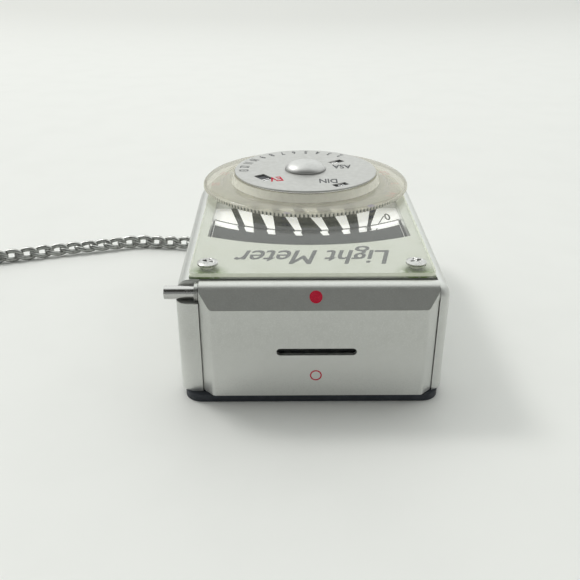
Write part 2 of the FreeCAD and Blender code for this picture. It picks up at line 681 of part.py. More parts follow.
def wire(name, points, radius):
    """A thin round wire along straight runs, with a ball at each corner."""
    vectors = [FreeCAD.Vector(*point) for point in points]
    shapes = [Part.makeSphere(radius, vector) for vector in vectors[1:-1]]
    for start, end in zip(vectors, vectors[1:]):
        shapes.append(Part.makeCylinder(radius, (end - start).Length, start, end - start))
    thing = doc.addObject("Part::Feature", name)
    thing.Shape = shapes[0].fuse(shapes[1:]).removeSplitter()
    return thing


def make_circuit():
    """The two leads from the cell to the movement, with the calibrating resistor on its board."""
    finish(box("board", "board_across", "board_along", "board_up", "board_wide", "board_deep", "board_thick"),
           "terminal_board")
    y = "board_along + board_deep / 2"
    up = "board_up + board_thick + bobbin_radius + 0.2"
    bobbin = cylinder("bobbin", "-bobbin_long / 2", y, up, "bobbin_radius", "bobbin_long", "X")
    flanges = []
    for side, x in (("left", "-bobbin_long / 2 - bobbin_end"), ("right", "bobbin_long / 2")):
        flanges.append(cylinder("bobbin_end_" + side, x, y, up, "bobbin_radius + 0.2", "bobbin_end", "X"))
    finish(fuse("resistor_solid", bobbin, *flanges), "resistor")
    left = [(-10.7, -30.3, 12.1), (-10.7, -20, 8), (-6, -2, 8), (-6, 3.5, 4)]
    right = [(12.3, -30.3, 12.1), (12.3, -20, 8), (6, -2, 8), (6, 3.5, 4)]
    radius = size("lead_wire")
    leads = [wire("lead_left", left, radius), wire("lead_right", right, radius)]
    return finish(group("lead_group", *leads), "leads")


# The moving coil movement under the dial.

def tube(name, x, y, z, outer, inner, height):
    """A round tube; its bore is cut 1 mm past both ends."""
    outside = cylinder(name + "_outside", x, y, z, outer, height)
    inside = cylinder(name + "_inside", x, y, f"{z} - 1", inner, f"{height} + 2")
    return cut(name, outside, inside)


def make_movement_frame():
    y = "pivot_along"
    floor = "case_bottom + lip_height"
    plate = box("frame_plate", "-frame_half", f"{y} - frame_front", floor,
                "2 * frame_half", "frame_deep", "frame_thick")
    plate_eye = cylinder("frame_eye", 0, y, 0, "lower_jewel", 5)
    finish(cut("frame_body", plate, plate_eye), "movement_plate")
    finish(tube("yoke_ring", 0, y, "magnet_bottom", "yoke_outer", "yoke_inner", "magnet_high"), "magnet_yoke")
    finish(tube("core_ring", 0, y, "magnet_bottom", "core_radius", "upper_jewel", "magnet_high"), "core_magnet")
    pillars = []
    for side, x in (("left", "-pillar_across"), ("right", "pillar_across")):
        pillars.append(cylinder("pillar_" + side, x, y, f"{floor} + frame_thick", "pillar_radius",
                                f"bridge_bottom - ({floor} + frame_thick)"))
    finish(group("pillar_group", *pillars), "bridge_pillars")
    strip = box("bridge_strip", "-frame_half", f"{y} - bridge_deep / 2", "bridge_bottom",
                "2 * frame_half", "bridge_deep", "frame_thick")
    eye = cylinder("bridge_eye", 0, y, "bridge_bottom - 0.2", "upper_jewel", 2)
    finish(cut("bridge_body", strip, eye), "top_bridge")
    upper = tube("upper_jewel_ring", 0, y, "bridge_bottom", "upper_jewel", "jewel_bore", "frame_thick")
    lower = tube("lower_jewel_ring", 0, y, f"{floor} + 0.2", "lower_jewel", "jewel_bore", "frame_thick - 0.2")
    return finish(group("jewel_group", upper, lower), "jewel_bearings")


def needle_turned(thing):
    """Turns a piece of the movement to the needle's rest angle, about the pivot."""
    thing.Placement = FreeCAD.Placement(
        FreeCAD.Vector(0, size("pivot_along"), 0),
        FreeCAD.Rotation(FreeCAD.Vector(0, 0, 1), size("needle_rest")))
    return thing


def make_needle():
    outside = box("coil_outside", "-former_half", "-former_deep / 2", "former_foot",
                  "2 * former_half", "former_deep", "former_high")
    inside = box("coil_inside", "former_side - former_half", "-former_deep / 2 - 0.5",
                 "former_foot + former_end", "2 * (former_half - former_side)", "former_deep + 1",
                 "former_high - 2 * former_end")
    coil = needle_turned(cut("coil_body", outside, inside))
    finish(coil, "moving_coil")
    coil_top = "former_foot + former_high"
    foot = "case_bottom + lip_height + 0.3"
    upper = cylinder("staff_upper", 0, "pivot_along", coil_top, "staff_radius",
                     f"needle_bottom + 0.2 - ({coil_top})")
    lower = cylinder("staff_lower", 0, "pivot_along", foot, "staff_radius", f"former_foot - ({foot})")
    finish(group("staff_group", upper, lower), "needle_staff")
    springs = []
    for side, z in (("upper", f"{coil_top} + 0.4"), ("lower", "former_foot - 0.6")):
        springs.append(tube("hairspring_" + side, 0, "pivot_along", z, "hairspring_radius",
                            "staff_radius + 0.1", "sheet_thick"))
    finish(group("hairspring_group", *springs), "hairsprings")
    top = "needle_bottom"
    blade = box("needle_blade", "-needle_wide / 2", "-needle_reach", top,
                "needle_wide", "needle_reach - 0.6", "sheet_thick")
    tail = box("needle_tail", "-tail_wide / 2", 0.6, top, "tail_wide", "tail_long", "sheet_thick")
    hub = tube("needle_hub", 0, 0, top, "hub_radius", "staff_radius", "hub_thick")
    return finish(needle_turned(fuse("needle_body", blade, tail, hub)), "needle")


def make_adjuster():
    disc = cylinder("adjuster_disc", 0, "pivot_along", 0.3, "adjuster_radius", 2)
    slot = box("adjuster_groove", "-adjuster_radius - 0.5", "pivot_along - adjuster_slot / 2", 0.1,
               "2 * adjuster_radius + 1", "adjuster_slot", 0.8)
    return finish(cut("adjuster_body", disc, slot), "zero_adjuster")


# The calculator dial.

def set_on_dial_axis(body):
    place(body, 0, "dial_centre", 0)
    return body


def make_dial():
    inner = "post_core + running_gap"
    dial = revolve("dial_body", [
        (inner, "dial_bottom"),
        ("dial_radius - 0.3", "dial_bottom"),
        ("dial_radius", "dial_bottom + 0.3"),
        ("dial_radius", "dial_rim - 0.2"),
        ("dial_radius - 0.2", "dial_rim"),
        ("boss_radius + 2.1", "dial_rim"),
        ("boss_radius + 2", "dial_rim - 0.2"),
        ("boss_radius", "dial_rim - 0.2"),
        ("boss_radius - 0.4", "boss_top"),
        (inner, "boss_top"),
    ])
    finish(set_on_dial_axis(dial), "calculator_dial")
    scale = revolve("speed_scale_body", [
        (inner, "boss_top"),
        ("disc_radius - 0.5", "boss_top"),
        ("disc_radius - 0.5", "boss_top + 0.15"),
        (inner, "boss_top + 0.15"),
    ])
    return finish(set_on_dial_axis(scale), "film_speed_scale")


SPEED_WINDOWS = [("first", -145, 10.9, 2.6, 4.4), ("second", -58, 13.2, 1.7, 3.4), ("third", 38, 9.2, 3.6, 1.8)]


def make_speed_disc():
    disc = revolve("disc_body", [
        ("post_core + running_gap", "disc_bottom"),
        ("disc_radius", "disc_bottom"),
        ("disc_radius", "disc_bottom + disc_thick - 0.1"),
        ("disc_radius - 0.1", "disc_bottom + disc_thick"),
        ("post_core + running_gap", "disc_bottom + disc_thick"),
    ])
    set_on_dial_axis(disc)
    openings = []
    for name, angle, reach, deep, wide in SPEED_WINDOWS:
        opening = doc.addObject("Part::Box", "speed_window_" + name)
        opening.Length = deep
        opening.Width = wide
        bind(opening, Height="disc_thick + 1")
        turn = FreeCAD.Rotation(FreeCAD.Vector(0, 0, 1), angle)
        corner = turn.multVec(FreeCAD.Vector(reach - deep / 2, -wide / 2, 0))
        centre = FreeCAD.Vector(0, size("dial_centre"), size("disc_bottom - 0.5"))
        opening.Placement = FreeCAD.Placement(centre + corner, turn)
        openings.append(opening)
    return finish(cut("speed_disc_body", disc, *openings), "speed_disc")


def make_dial_post():
    y = "dial_centre"
    bottom = "deck_top - wall"
    top = "disc_bottom + disc_thick + running_gap"
    finish(cylinder("dial_post_rod", 0, y, bottom, "post_core", f"{top} - ({bottom})"), "dial_post")
    washer = tube("washer_ring", 0, y, "deck_top + name_thick + cover_thick", 4.5, "post_core", "washer_thick")
    finish(washer, "friction_washer")
    round_radius = (size("cap_radius") ** 2 + size("cap_rise") ** 2) / (2 * size("cap_rise"))
    ball = doc.addObject("Part::Sphere", "cap_ball")
    ball.Radius = round_radius
    place(ball, 0, y, f"{top} + cap_rise - {round_radius}")
    slab = cylinder("cap_slab", 0, y, top, "cap_radius", "cap_rise + 1")
    cap = doc.addObject("Part::Common", "cap_body")
    cap.Base = ball
    cap.Tool = slab
    return finish(cap, "dial_cap")


# The chain.

def chain_direction():
    angle = math.radians(size("lug_angle"))
    return FreeCAD.Vector(math.cos(angle), math.sin(angle), 0)


def make_lug():
    """A flat tab on the case's rear corner, with an eye for the jump ring."""
    reach = size("lug_reach")
    foot = size("rear_radius") - 0.15
    half = size("lug_half")
    thick = size("lug_thick")
    tab = Part.makeBox(reach - foot, 2 * half, thick, FreeCAD.Vector(foot, -half, 0))
    tip = Part.makeCylinder(half, thick, FreeCAD.Vector(reach, 0, 0))
    eye = Part.makeCylinder(size("lug_eye"), 2 * thick, FreeCAD.Vector(reach, 0, -thick / 2))
    wall_side = Part.makeCylinder(size("rear_radius"), 2 * thick, FreeCAD.Vector(0, 0, -thick / 2))
    lug = doc.addObject("Part::Feature", "lug_body")
    lug.Shape = tab.fuse(tip).cut(eye).cut(wall_side).removeSplitter()
    lug.Placement = FreeCAD.Placement(
        FreeCAD.Vector(0, size("dial_centre"), size("lug_bottom")),
        FreeCAD.Rotation(FreeCAD.Vector(0, 0, 1), size("lug_angle")))
    finish(lug, "chain_lug")
    eye_up = size("lug_bottom") + thick / 2
    eye_centre = chain_direction() * reach + FreeCAD.Vector(0, size("dial_centre"), eye_up)
    tilt = math.radians(size("ring_tilt"))
    fall = FreeCAD.Vector(-math.cos(tilt), 0, -math.sin(tilt)) * size("ring_radius")
    ring = doc.addObject("Part::Torus", "ring_body")
    bind(ring, Radius1="ring_radius", Radius2="ring_wire")
    ring.Placement = FreeCAD.Placement(
        eye_centre + fall, FreeCAD.Rotation(FreeCAD.Vector(0, 0, 1), FreeCAD.Vector(0, 1, 0)))
    return finish(ring, "jump_ring")


def rounded_route(points):
    """Straight runs joined by tangent arcs; prints each arc's radius."""
    corners = [FreeCAD.Vector(*point) for point in points]
    edges = []
    start = corners[0]
    radii = []
    for before, corner, after in zip(corners, corners[1:], corners[2:]):
        back = (before - corner).normalize()
        onward = (after - corner).normalize()
        half_turn = (math.pi - back.getAngle(onward)) / 2
        trim = 0.45 * min((before - corner).Length, (after - corner).Length)
        radius = trim / math.tan(half_turn)
        radii.append(radius)
        middle_way = (back + onward).normalize()
        centre = corner + middle_way * (radius / math.cos(half_turn))
        arc_start = corner + back * trim
        arc_end = corner + onward * trim
        edges.append(Part.LineSegment(start, arc_start).toShape())
        edges.append(Part.Arc(arc_start, centre - middle_way * radius, arc_end).toShape())
        start = arc_end
    edges.append(Part.LineSegment(start, corners[-1]).toShape())
    print("chain arc radii", [round(radius, 1) for radius in radii])
    return Part.Wire(edges)


def make_chain():
    path = rounded_route(CHAIN_ROUTE)
    radius = size("chain_radius")
    start = FreeCAD.Vector(*CHAIN_ROUTE[0])
    direction = FreeCAD.Vector(*CHAIN_ROUTE[1]) - start
    profile = Part.Wire(Part.makeCircle(radius, start, direction))
    run = doc.addObject("Part::Feature", "chain_run_body")
    run.Shape = path.makePipeShell([profile], True, False)
    expected = math.pi * radius ** 2 * path.Length
    print("chain run length", round(path.Length, 1), "volume ratio", round(run.Shape.Volume / expected, 4))
    finish(run, "chain_run")
    x = "coil_across"
    y = "coil_along"
    finish(tube("chain_coil_body", x, y, 0, "coil_outer", "coil_inner", "coil_high"), "chain_coil")
    hook = doc.addObject("Part::Torus", "hook_body")
    bind(hook, Radius1="end_ring_radius", Radius2="end_ring_wire")
    place(hook, f"{x} + end_ring_reach * cos(end_ring_angle)",
          f"{y} + end_ring_reach * sin(end_ring_angle)", "end_ring_wire + 0.15")
    return finish(hook, "chain_end_ring")


def check_and_write():
    doc.recompute()
    failed = [thing.Name for thing in doc.Objects if {"Invalid", "Error"} & set(thing.State)]
    if failed:
        raise RuntimeError(f"failed: {failed}")
    for thing in parts:
        shape = thing.Shape
        if shape.isNull() or not shape.isValid() or not shape.Solids:
            raise RuntimeError(f"bad shape: {thing.Label}")
        print(thing.Label, len(shape.Solids), "solids", round(shape.Volume, 1), "mm3")
    os.makedirs("parts", exist_ok=True)
    for thing in parts:
        thing.Shape.exportStep(f"parts/{thing.Label}.step")


fill_sheet()
make_base()
make_housing()
make_screws()
make_name_plate()
make_cover()
make_scales()
make_well()
make_flap()
make_hinge()
make_cell()
make_circuit()
make_movement_frame()
make_needle()
make_adjuster()
make_dial()
make_speed_disc()
make_dial_post()
make_lug()
make_chain()
check_and_write()
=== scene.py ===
import json
import math

import bmesh
import bpy
from mathutils import Matrix, Vector


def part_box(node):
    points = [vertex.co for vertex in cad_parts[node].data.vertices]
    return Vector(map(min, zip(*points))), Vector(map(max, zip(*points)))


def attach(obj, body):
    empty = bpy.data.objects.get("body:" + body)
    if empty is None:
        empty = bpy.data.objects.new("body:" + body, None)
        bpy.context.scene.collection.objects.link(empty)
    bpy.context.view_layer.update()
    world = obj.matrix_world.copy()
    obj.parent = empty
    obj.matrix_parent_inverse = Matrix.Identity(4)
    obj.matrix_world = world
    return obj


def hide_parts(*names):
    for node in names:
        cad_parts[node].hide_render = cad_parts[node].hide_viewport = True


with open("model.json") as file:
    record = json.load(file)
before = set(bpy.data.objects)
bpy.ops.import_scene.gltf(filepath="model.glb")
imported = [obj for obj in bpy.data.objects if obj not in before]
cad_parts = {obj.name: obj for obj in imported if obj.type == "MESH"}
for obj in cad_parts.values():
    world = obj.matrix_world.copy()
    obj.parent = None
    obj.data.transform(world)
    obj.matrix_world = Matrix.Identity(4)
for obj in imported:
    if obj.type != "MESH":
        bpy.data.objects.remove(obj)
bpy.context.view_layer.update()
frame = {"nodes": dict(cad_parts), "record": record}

MM = 0.001

# Places taken from the frame.
COVER_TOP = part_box("cover_plate")[1].z
PLATE_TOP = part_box("name_plate")[1].z
SCALE_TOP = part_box("scale_plate")[1].z
STRIP_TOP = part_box("lower_scale")[1].z
FLAP_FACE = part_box("flap")[0].y
DIAL_LOW, DIAL_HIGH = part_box("calculator_dial")
DIAL_AXIS = (DIAL_LOW + DIAL_HIGH) / 2
DIAL_RADIUS = (DIAL_HIGH.x - DIAL_LOW.x) / 2
DISC_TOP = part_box("speed_disc")[1].z
SPEED_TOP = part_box("film_speed_scale")[1].z
JOINTS = {joint["name"]: joint for joint in frame["record"]["behaviour"]["joints"]}
NEEDLE_PIVOT = Vector(JOINTS["needle_swing"]["pos_m"])

# The clear cover's two screws, in millimetres.
SCREWS_LOW, SCREWS_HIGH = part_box("cover_screws")
SCREW_RADIUS = 1.75
SCREW_X = SCREWS_HIGH.x / MM - SCREW_RADIUS
SCREW_Y = (SCREWS_LOW.y + SCREWS_HIGH.y) / 2 / MM

# The underside and the top of flat printing, above what it is printed on.
PRINT_LIFT = 0.004 * MM
PRINT_TOP = 0.02 * MM

UPSIDE_DOWN = Matrix.Rotation(math.pi, 4, "Z")


# Meshes.

class Builder:
    """Collects faces and makes one object of them."""

    def __init__(self):
        self.points = []
        self.faces = []

    def add(self, points, faces, matrix=None):
        first = len(self.points)
        for point in points:
            place = Vector(point)
            self.points.append(matrix @ place if matrix else place)
        for face in faces:
            self.faces.append([first + index for index in face])

    def grid(self, rows, closed_u=False, closed_v=False):
        """Quads between rows of points. closed_u joins a row's ends, closed_v the last row and the first."""
        across = len(rows[0])
        points = [point for row in rows for point in row]
        faces = []
        for v in range(len(rows) if closed_v else len(rows) - 1):
            for u in range(across if closed_u else across - 1):
                a = v * across + u
                b = v * across + (u + 1) % across
                c = ((v + 1) % len(rows)) * across
                faces.append([a, b, c + (u + 1) % across, c + u])
        self.add(points, faces)

    def make(self, name, material, body, smooth=True):
        mesh = bpy.data.meshes.new(name)
        mesh.from_pydata([tuple(point) for point in self.points], [], self.faces)
        mesh.validate()
        work = bmesh.new()
        work.from_mesh(mesh)
        bmesh.ops.recalc_face_normals(work, faces=work.faces)
        work.to_mesh(mesh)
        work.free()
        for polygon in mesh.polygons:
            polygon.use_smooth = smooth
        thing = bpy.data.objects.new(name, mesh)
        bpy.context.scene.collection.objects.link(thing)
        mesh.materials.append(material)
        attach(thing, body)
        return thing


def keep_creases(thing, degrees=30):
    """Smooth faces with sharp edges kept sharp."""
    thing.data.set_sharp_from_angle(angle=math.radians(degrees))


def prism(builder, outline, bottom, top, matrix=None):
    """A closed flat piece from an outline of (x, y)."""
    count = len(outline)
    points = [(x, y, bottom) for x, y in outline] + [(x, y, top) for x, y in outline]
    faces = [list(reversed(range(count))), list(range(count, 2 * count))]
    for index in range(count):
        follower = (index + 1) % count
        faces.append([index, follower, count + follower, count + index])
    builder.add(points, faces, matrix)


# A capital's height as a share of the font's size, and the letters' thickness.
CAP_SHARE = 0.7
LETTER_DEPTH = 0.02 * MM


def lettering(builder, text, height, matrix, shear=0.0, weight=0.0, tall=1.0):
    """Letters of a given cap height, centred, facing along the matrix's Z."""
    curve = bpy.data.curves.new("letters", "FONT")
    curve.body = text
    curve.size = height / CAP_SHARE
    curve.shear = shear
    curve.offset = weight
    curve.align_x = "CENTER"
    curve.align_y = "CENTER"
    curve.resolution_u = 3
    curve.extrude = LETTER_DEPTH / 2
    holder = bpy.data.objects.new("letters", curve)
    bpy.context.scene.collection.objects.link(holder)
    bpy.context.view_layer.update()
    mesh = bpy.data.meshes.new_from_object(holder)
    points = [vertex.co.copy() for vertex in mesh.vertices]
    faces = [list(polygon.vertices) for polygon in mesh.polygons]
    builder.add(points, faces, matrix @ Matrix.Diagonal((1, tall, 1, 1)))
    bpy.data.objects.remove(holder)
    bpy.data.meshes.remove(mesh)
    bpy.data.curves.remove(curve)


def circle_points(radius, count):
    """Points (x, y) of a circle about the origin."""
    turns = [2 * math.pi * index / count for index in range(count)]
    return [(radius * math.cos(turn), radius * math.sin(turn)) for turn in turns]


def in_metres(points):
    """Points (x, y) given in millimetres."""
    return [(x * MM, y * MM) for x, y in points]


def on_dial(angle, reach, height, facing=90.0):
    """A frame on the dial at an angle in degrees, with letters turned to face the centre or the rim."""
    turn = math.radians(angle)
    place = Vector((reach * math.cos(turn), DIAL_AXIS.y + reach * math.sin(turn), height))
    return Matrix.Translation(place) @ Matrix.Rotation(turn + math.radians(facing), 4, "Z")


# Materials.

class Surface:
    """A material round one Principled shader, with procedural detail in metres."""

    def __init__(self, name, color, metallic=0.0, roughness=0.5, **sockets):
        self.material = bpy.data.materials.new(name)
        self.material.use_nodes = True
        self.nodes = self.material.node_tree.nodes
        self.links = self.material.node_tree.links
        self.shader = self.nodes["Principled BSDF"]
        self.shader.inputs["Base Color"].default_value = (*color, 1)
        self.shader.inputs["Metallic"].default_value = metallic
        self.shader.inputs["Roughness"].default_value = roughness
        for socket, value in sockets.items():
            self.shader.inputs[socket.replace("_", " ")].default_value = value
        self.normal = None
        self.place = self.nodes.new("ShaderNodeTexCoord").outputs["Object"]

    def noise(self, scale, detail=3.0, stretch=(1, 1, 1)):
        mapping = self.nodes.new("ShaderNodeMapping")
        mapping.inputs["Scale"].default_value = stretch
        self.links.new(self.place, mapping.inputs["Vector"])
        texture = self.nodes.new("ShaderNodeTexNoise")
        texture.inputs["Scale"].default_value = scale
        texture.inputs["Detail"].default_value = detail
        self.links.new(mapping.outputs["Vector"], texture.inputs["Vector"])
        return texture.outputs["Fac"]

    def ramp(self, value, low, high, out_low=0.0, out_high=1.0):
        step = self.nodes.new("ShaderNodeMapRange")
        step.interpolation_type = "SMOOTHSTEP"
        step.inputs["From Min"].default_value = low
        step.inputs["From Max"].default_value = high
        step.inputs["To Min"].default_value = out_low
        step.inputs["To Max"].default_value = out_high
        self.links.new(value, step.inputs["Value"])
        return step.outputs["Result"]

    def tint(self, amount, color):
        """Mixes a colour over what the base colour has so far."""
        mix = self.nodes.new("ShaderNodeMix")
        mix.data_type = "RGBA"
        before = self.shader.inputs["Base Color"]
        if before.is_linked:
            self.links.new(before.links[0].from_socket, mix.inputs["A"])
        else:
            mix.inputs["A"].default_value = before.default_value
        mix.inputs["B"].default_value = (*color, 1)
        self.links.new(amount, mix.inputs["Factor"])
        self.links.new(mix.outputs["Result"], before)
        return self

    def mottle(self, scale, color, low=0.45, high=0.75, most=0.6, stretch=(1, 1, 1)):
        return self.tint(self.ramp(self.noise(scale, 4, stretch), low, high, 0, most), color)

    def rough(self, scale, low, high, stretch=(1, 1, 1)):
        self.links.new(self.ramp(self.noise(scale, 3, stretch), 0.3, 0.7, low, high),
                       self.shader.inputs["Roughness"])
        return self

    def bump(self, height, strength, depth):
        step = self.nodes.new("ShaderNodeBump")
        step.inputs["Strength"].default_value = strength
        step.inputs["Distance"].default_value = depth
        self.links.new(height, step.inputs["Height"])
        if self.normal:
            self.links.new(self.normal, step.inputs["Normal"])
        self.normal = step.outputs["Normal"]
        self.links.new(self.normal, self.shader.inputs["Normal"])
        return self

    def grain(self, scale, strength=0.3, depth=0.02 * MM, stretch=(1, 1, 1)):
        return self.bump(self.noise(scale, 2, stretch), strength, depth)

    def near(self, point, low, high):
        """1 close to a point, falling to 0 between the two distances."""
        distance = self.nodes.new("ShaderNodeVectorMath")
        distance.operation = "DISTANCE"
        distance.inputs[1].default_value = point
        self.links.new(self.place, distance.inputs[0])
        return self.ramp(distance.outputs["Value"], low, high, 1, 0)

    def times(self, first, second):
        product = self.nodes.new("ShaderNodeMath")
        product.operation = "MULTIPLY"
        self.links.new(first, product.inputs[0])
        self.links.new(second, product.inputs[1])
        return product.outputs["Value"]


def satin_silver():
    """Satin metal, with painted light making it a little brighter towards its lower edges."""
    surface = Surface("satin_silver", (0.60, 0.61, 0.585), metallic=0.62, roughness=0.32)
    surface.mottle(700, (0.56, 0.57, 0.545), 0.4, 0.7, 0.5)
    height = surface.nodes.new("ShaderNodeSeparateXYZ")
    surface.links.new(surface.place, height.inputs[0])
    # Painted light: the metal is tinted lighter from this height down to near the base.
    painted_light_from = 14 * MM
    painted_light_full = 1 * MM
    surface.tint(surface.ramp(height.outputs["Z"], painted_light_from, painted_light_full, 0, 0.85), (0.80, 0.81, 0.785))
    surface.mottle(4200, (0.68, 0.69, 0.67), 0.45, 0.7, 0.5)
    surface.rough(1500, 0.30, 0.36)
    return surface.grain(3600, 0.2, 0.02 * MM)


def clear_plastic(name, through, edge, haze, cloud=0.8, **sockets):
    """Thin clear plastic: see-through on its flat faces, cloudy along its edges, glossy all over."""
    surface = Surface(name, edge, roughness=0.3, **sockets)
    surface.mottle(260, tuple(0.88 * channel for channel in edge), 0.4, 0.7, 0.6).rough(900, 0.22, 0.34)
    nodes = surface.nodes
    links = surface.links
    geometry = nodes.new("ShaderNodeNewGeometry")
    open_part = nodes.new("ShaderNodeBsdfTransparent")
    open_part.inputs["Color"].default_value = (*through, 1)
    facing = nodes.new("ShaderNodeSeparateXYZ")
    links.new(geometry.outputs["Normal"], facing.inputs[0])
    upright = nodes.new("ShaderNodeMath")
    upright.operation = "ABSOLUTE"
    links.new(facing.outputs["Z"], upright.inputs[0])
    body = nodes.new("ShaderNodeMixShader")
    links.new(surface.ramp(upright.outputs["Value"], 0.25, 0.97, cloud, haze), body.inputs["Fac"])
    links.new(open_part.outputs["BSDF"], body.inputs[1])
    links.new(surface.shader.outputs["BSDF"], body.inputs[2])
    gloss = nodes.new("ShaderNodeBsdfGlossy")
    gloss.inputs["Roughness"].default_value = 0.06
    sheen = nodes.new("ShaderNodeFresnel")
    sheen.inputs["IOR"].default_value = 1.2
    outside = nodes.new("ShaderNodeMath")
    outside.operation = "SUBTRACT"
    outside.inputs[0].default_value = 1.0
    links.new(geometry.outputs["Backfacing"], outside.inputs[1])
    coated = nodes.new("ShaderNodeMixShader")
    links.new(surface.times(sheen.outputs["Fac"], outside.outputs["Value"]), coated.inputs["Fac"])
    links.new(body.outputs["Shader"], coated.inputs[1])
    links.new(gloss.outputs["BSDF"], coated.inputs[2])
    links.new(coated.outputs["Shader"], nodes["Material Output"].inputs["Surface"])
    return surface


def cover_plastic():
    """Water-clear, with a pale green edge and a painted glow on it that stands in for the light it carries.
    """
    return clear_plastic("clear_plastic", (0.99, 0.99, 0.975), (0.66, 0.69, 0.54), 0.02,
                         Emission_Color=(0.70, 0.73, 0.64, 1), Emission_Strength=0.26)


def dial_plastic():
    """Yellowed and hazier than the cover, with a painted glow on its edges."""
    return clear_plastic("dial_plastic", (0.72, 0.708, 0.655), (0.86, 0.84, 0.73), 0.2, 0.9,
                         Emission_Color=(0.86, 0.84, 0.73, 1), Emission_Strength=0.18)


def lens_plastic():
    return clear_plastic("lens_plastic", (0.90, 0.92, 0.88), (0.20, 0.21, 0.20), 0.02)


def black_plastic():
    surface = Surface("black_plastic", (0.022, 0.028, 0.037), roughness=0.5)
    surface.mottle(700, (0.040, 0.047, 0.06), 0.4, 0.7, 0.6).rough(1200, 0.42, 0.62)
    return surface.grain(6000, 0.5, 0.03 * MM)


def printed_plate():
    """Brushed pale plate, with dark green stains in front of the cover's screws."""
    surface = Surface("printed_plate", (0.51, 0.53, 0.48), metallic=0.35, roughness=0.38)
    surface.mottle(350, (0.45, 0.47, 0.40), 0.4, 0.75, 0.5).rough(900, 0.32, 0.46, (1, 12, 1))
    surface.grain(2500, 0.15, 0.01 * MM, (1, 14, 1))
    stain_y = SCREW_Y - 2.6
    for side in (-1, 1):
        stain = surface.near((side * SCREW_X * MM, stain_y * MM, PLATE_TOP), 1.2 * MM, 4.4 * MM)
        patches = surface.ramp(surface.noise(1100, 4), 0.28, 0.5)
        surface.tint(surface.times(stain, patches), (0.15, 0.22, 0.07))
    return surface


def scale_print():
    """White print, with a painted glow that brightens it in its recess."""
    surface = Surface("scale_print", (0.98, 0.985, 0.975), roughness=0.4,
                      Emission_Color=(1.0, 1.0, 0.98, 1), Emission_Strength=0.32)
    return surface.mottle(500, (0.93, 0.94, 0.93), 0.4, 0.7, 0.6).grain(5000, 0.1, 0.01 * MM)


def turned_silver():
    surface = Surface("turned_silver", (0.48, 0.48, 0.465), metallic=0.5, roughness=0.4)
    surface.mottle(600, (0.45, 0.45, 0.43), 0.4, 0.7, 0.5).rough(1000, 0.34, 0.48)
    return surface.grain(6000, 0.25, 0.02 * MM)


def chrome():
    surface = Surface("chrome", (0.52, 0.52, 0.51), metallic=1.0, roughness=0.12)
    return surface.rough(900, 0.16, 0.28).grain(1500, 0.12, 0.02 * MM)


def screw_steel():
    surface = Surface("screw_steel", (0.50, 0.50, 0.49), metallic=1.0, roughness=0.3)
    surface.mottle(1500, (0.38, 0.38, 0.37), 0.4, 0.7, 0.7).rough(1200, 0.2, 0.36)
    return surface.grain(2500, 0.3, 0.03 * MM)


def cap_metal():
    surface = Surface("cap_metal", (0.54, 0.54, 0.53), metallic=0.85, roughness=0.42)
    surface.mottle(1200, (0.49, 0.49, 0.48), 0.4, 0.7, 0.6).rough(1000, 0.36, 0.48)
    return surface.grain(2500, 0.1, 0.01 * MM)


def chain_steel():
    surface = Surface("chain_steel", (0.47, 0.48, 0.46), metallic=1.0, roughness=0.42)
    surface.mottle(1200, (0.20, 0.19, 0.18), 0.45, 0.7, 0.7).rough(1500, 0.25, 0.45)
    return surface.grain(3000, 0.2, 0.02 * MM)


def brass():
    surface = Surface("brass", (0.62, 0.44, 0.18), metallic=1.0, roughness=0.35)
    return surface.mottle(900, (0.40, 0.28, 0.12), 0.45, 0.7, 0.6).rough(1200, 0.28, 0.45)


def selenium():
    surface = Surface("selenium", (0.035, 0.035, 0.045), metallic=0.3, roughness=0.35)
    surface.mottle(400, (0.06, 0.05, 0.075), 0.4, 0.7, 0.7).rough(900, 0.28, 0.42)
    return surface.grain(3000, 0.2, 0.01 * MM)


def needle_black():
    surface = Surface("needle_black", (0.01, 0.01, 0.01), roughness=0.4)
    return surface.mottle(3000, (0.04, 0.04, 0.04)).rough(2000, 0.35, 0.5)


def resistor_glaze():
    surface = Surface("resistor_glaze", (0.16, 0.04, 0.02), roughness=0.25)
    return surface.mottle(1500, (0.08, 0.02, 0.012)).rough(1200, 0.2, 0.35)


def make_surfaces():
    """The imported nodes' surfaces by material slot, then those that only pieces made here use."""
    return {
        "satin_case": satin_silver(),
        "black_plastic": black_plastic(),
        "printed_plate": printed_plate(),
        "clear_plastic": cover_plastic(),
        "cell_lens": lens_plastic(),
        "scale_print": scale_print(),
        "silver_disc": turned_silver(),
        "chrome": chrome(),
        "steel": chain_steel(),
        "brass": brass(),
        "cell": selenium(),
        "needle": needle_black(),
        "resistor": resistor_glaze(),
        "dial_plastic": dial_plastic(),
        "screw_steel": screw_steel(),
        "cap_metal": cap_metal(),
    }


def ink(name, color):
    """Matt printing ink, a little paler in patches."""
    surface = Surface(name, color, roughness=0.75, Specular_IOR_Level=0.05)
    paler = tuple(min(1, channel * 1.3 + 0.02) for channel in color)
    surface.mottle(4000, paler, 0.4, 0.7, 0.6)
    return surface.material


surfaces = make_surfaces()
GREY_INK = ink("grey_ink", (0.115, 0.118, 0.125))
DARK_INK = ink("dark_ink", (0.028, 0.032, 0.035))
# Painted shade for the gaps between the dial's teeth. It is made with the ink helper but is no print.
PAINTED_GAP_SHADE = ink("gap_shade", (0.34, 0.35, 0.30))
RED_INK = ink("red_ink", (0.55, 0.02, 0.05))
PINK_INK = ink("pink_ink", (0.72, 0.12, 0.16))
VIOLET_INK = ink("violet_ink", (0.16, 0.11, 0.46))


def dress_cad_nodes():
    """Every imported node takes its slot's material."""
    for part in frame["record"]["subparts"]:
        thing = frame["nodes"][part["node"]]
        thing.data.materials.clear()
        thing.data.materials.append(surfaces[part["material_slot"]].material)


dress_cad_nodes()


# The camera, the floor and the light.

CAMERA_LENS = 43.4
CAMERA_PLACE = (-4.57, -136.34, 70.43)
CAMERA_TILT = 63.62
CAMERA_TURN = -0.45


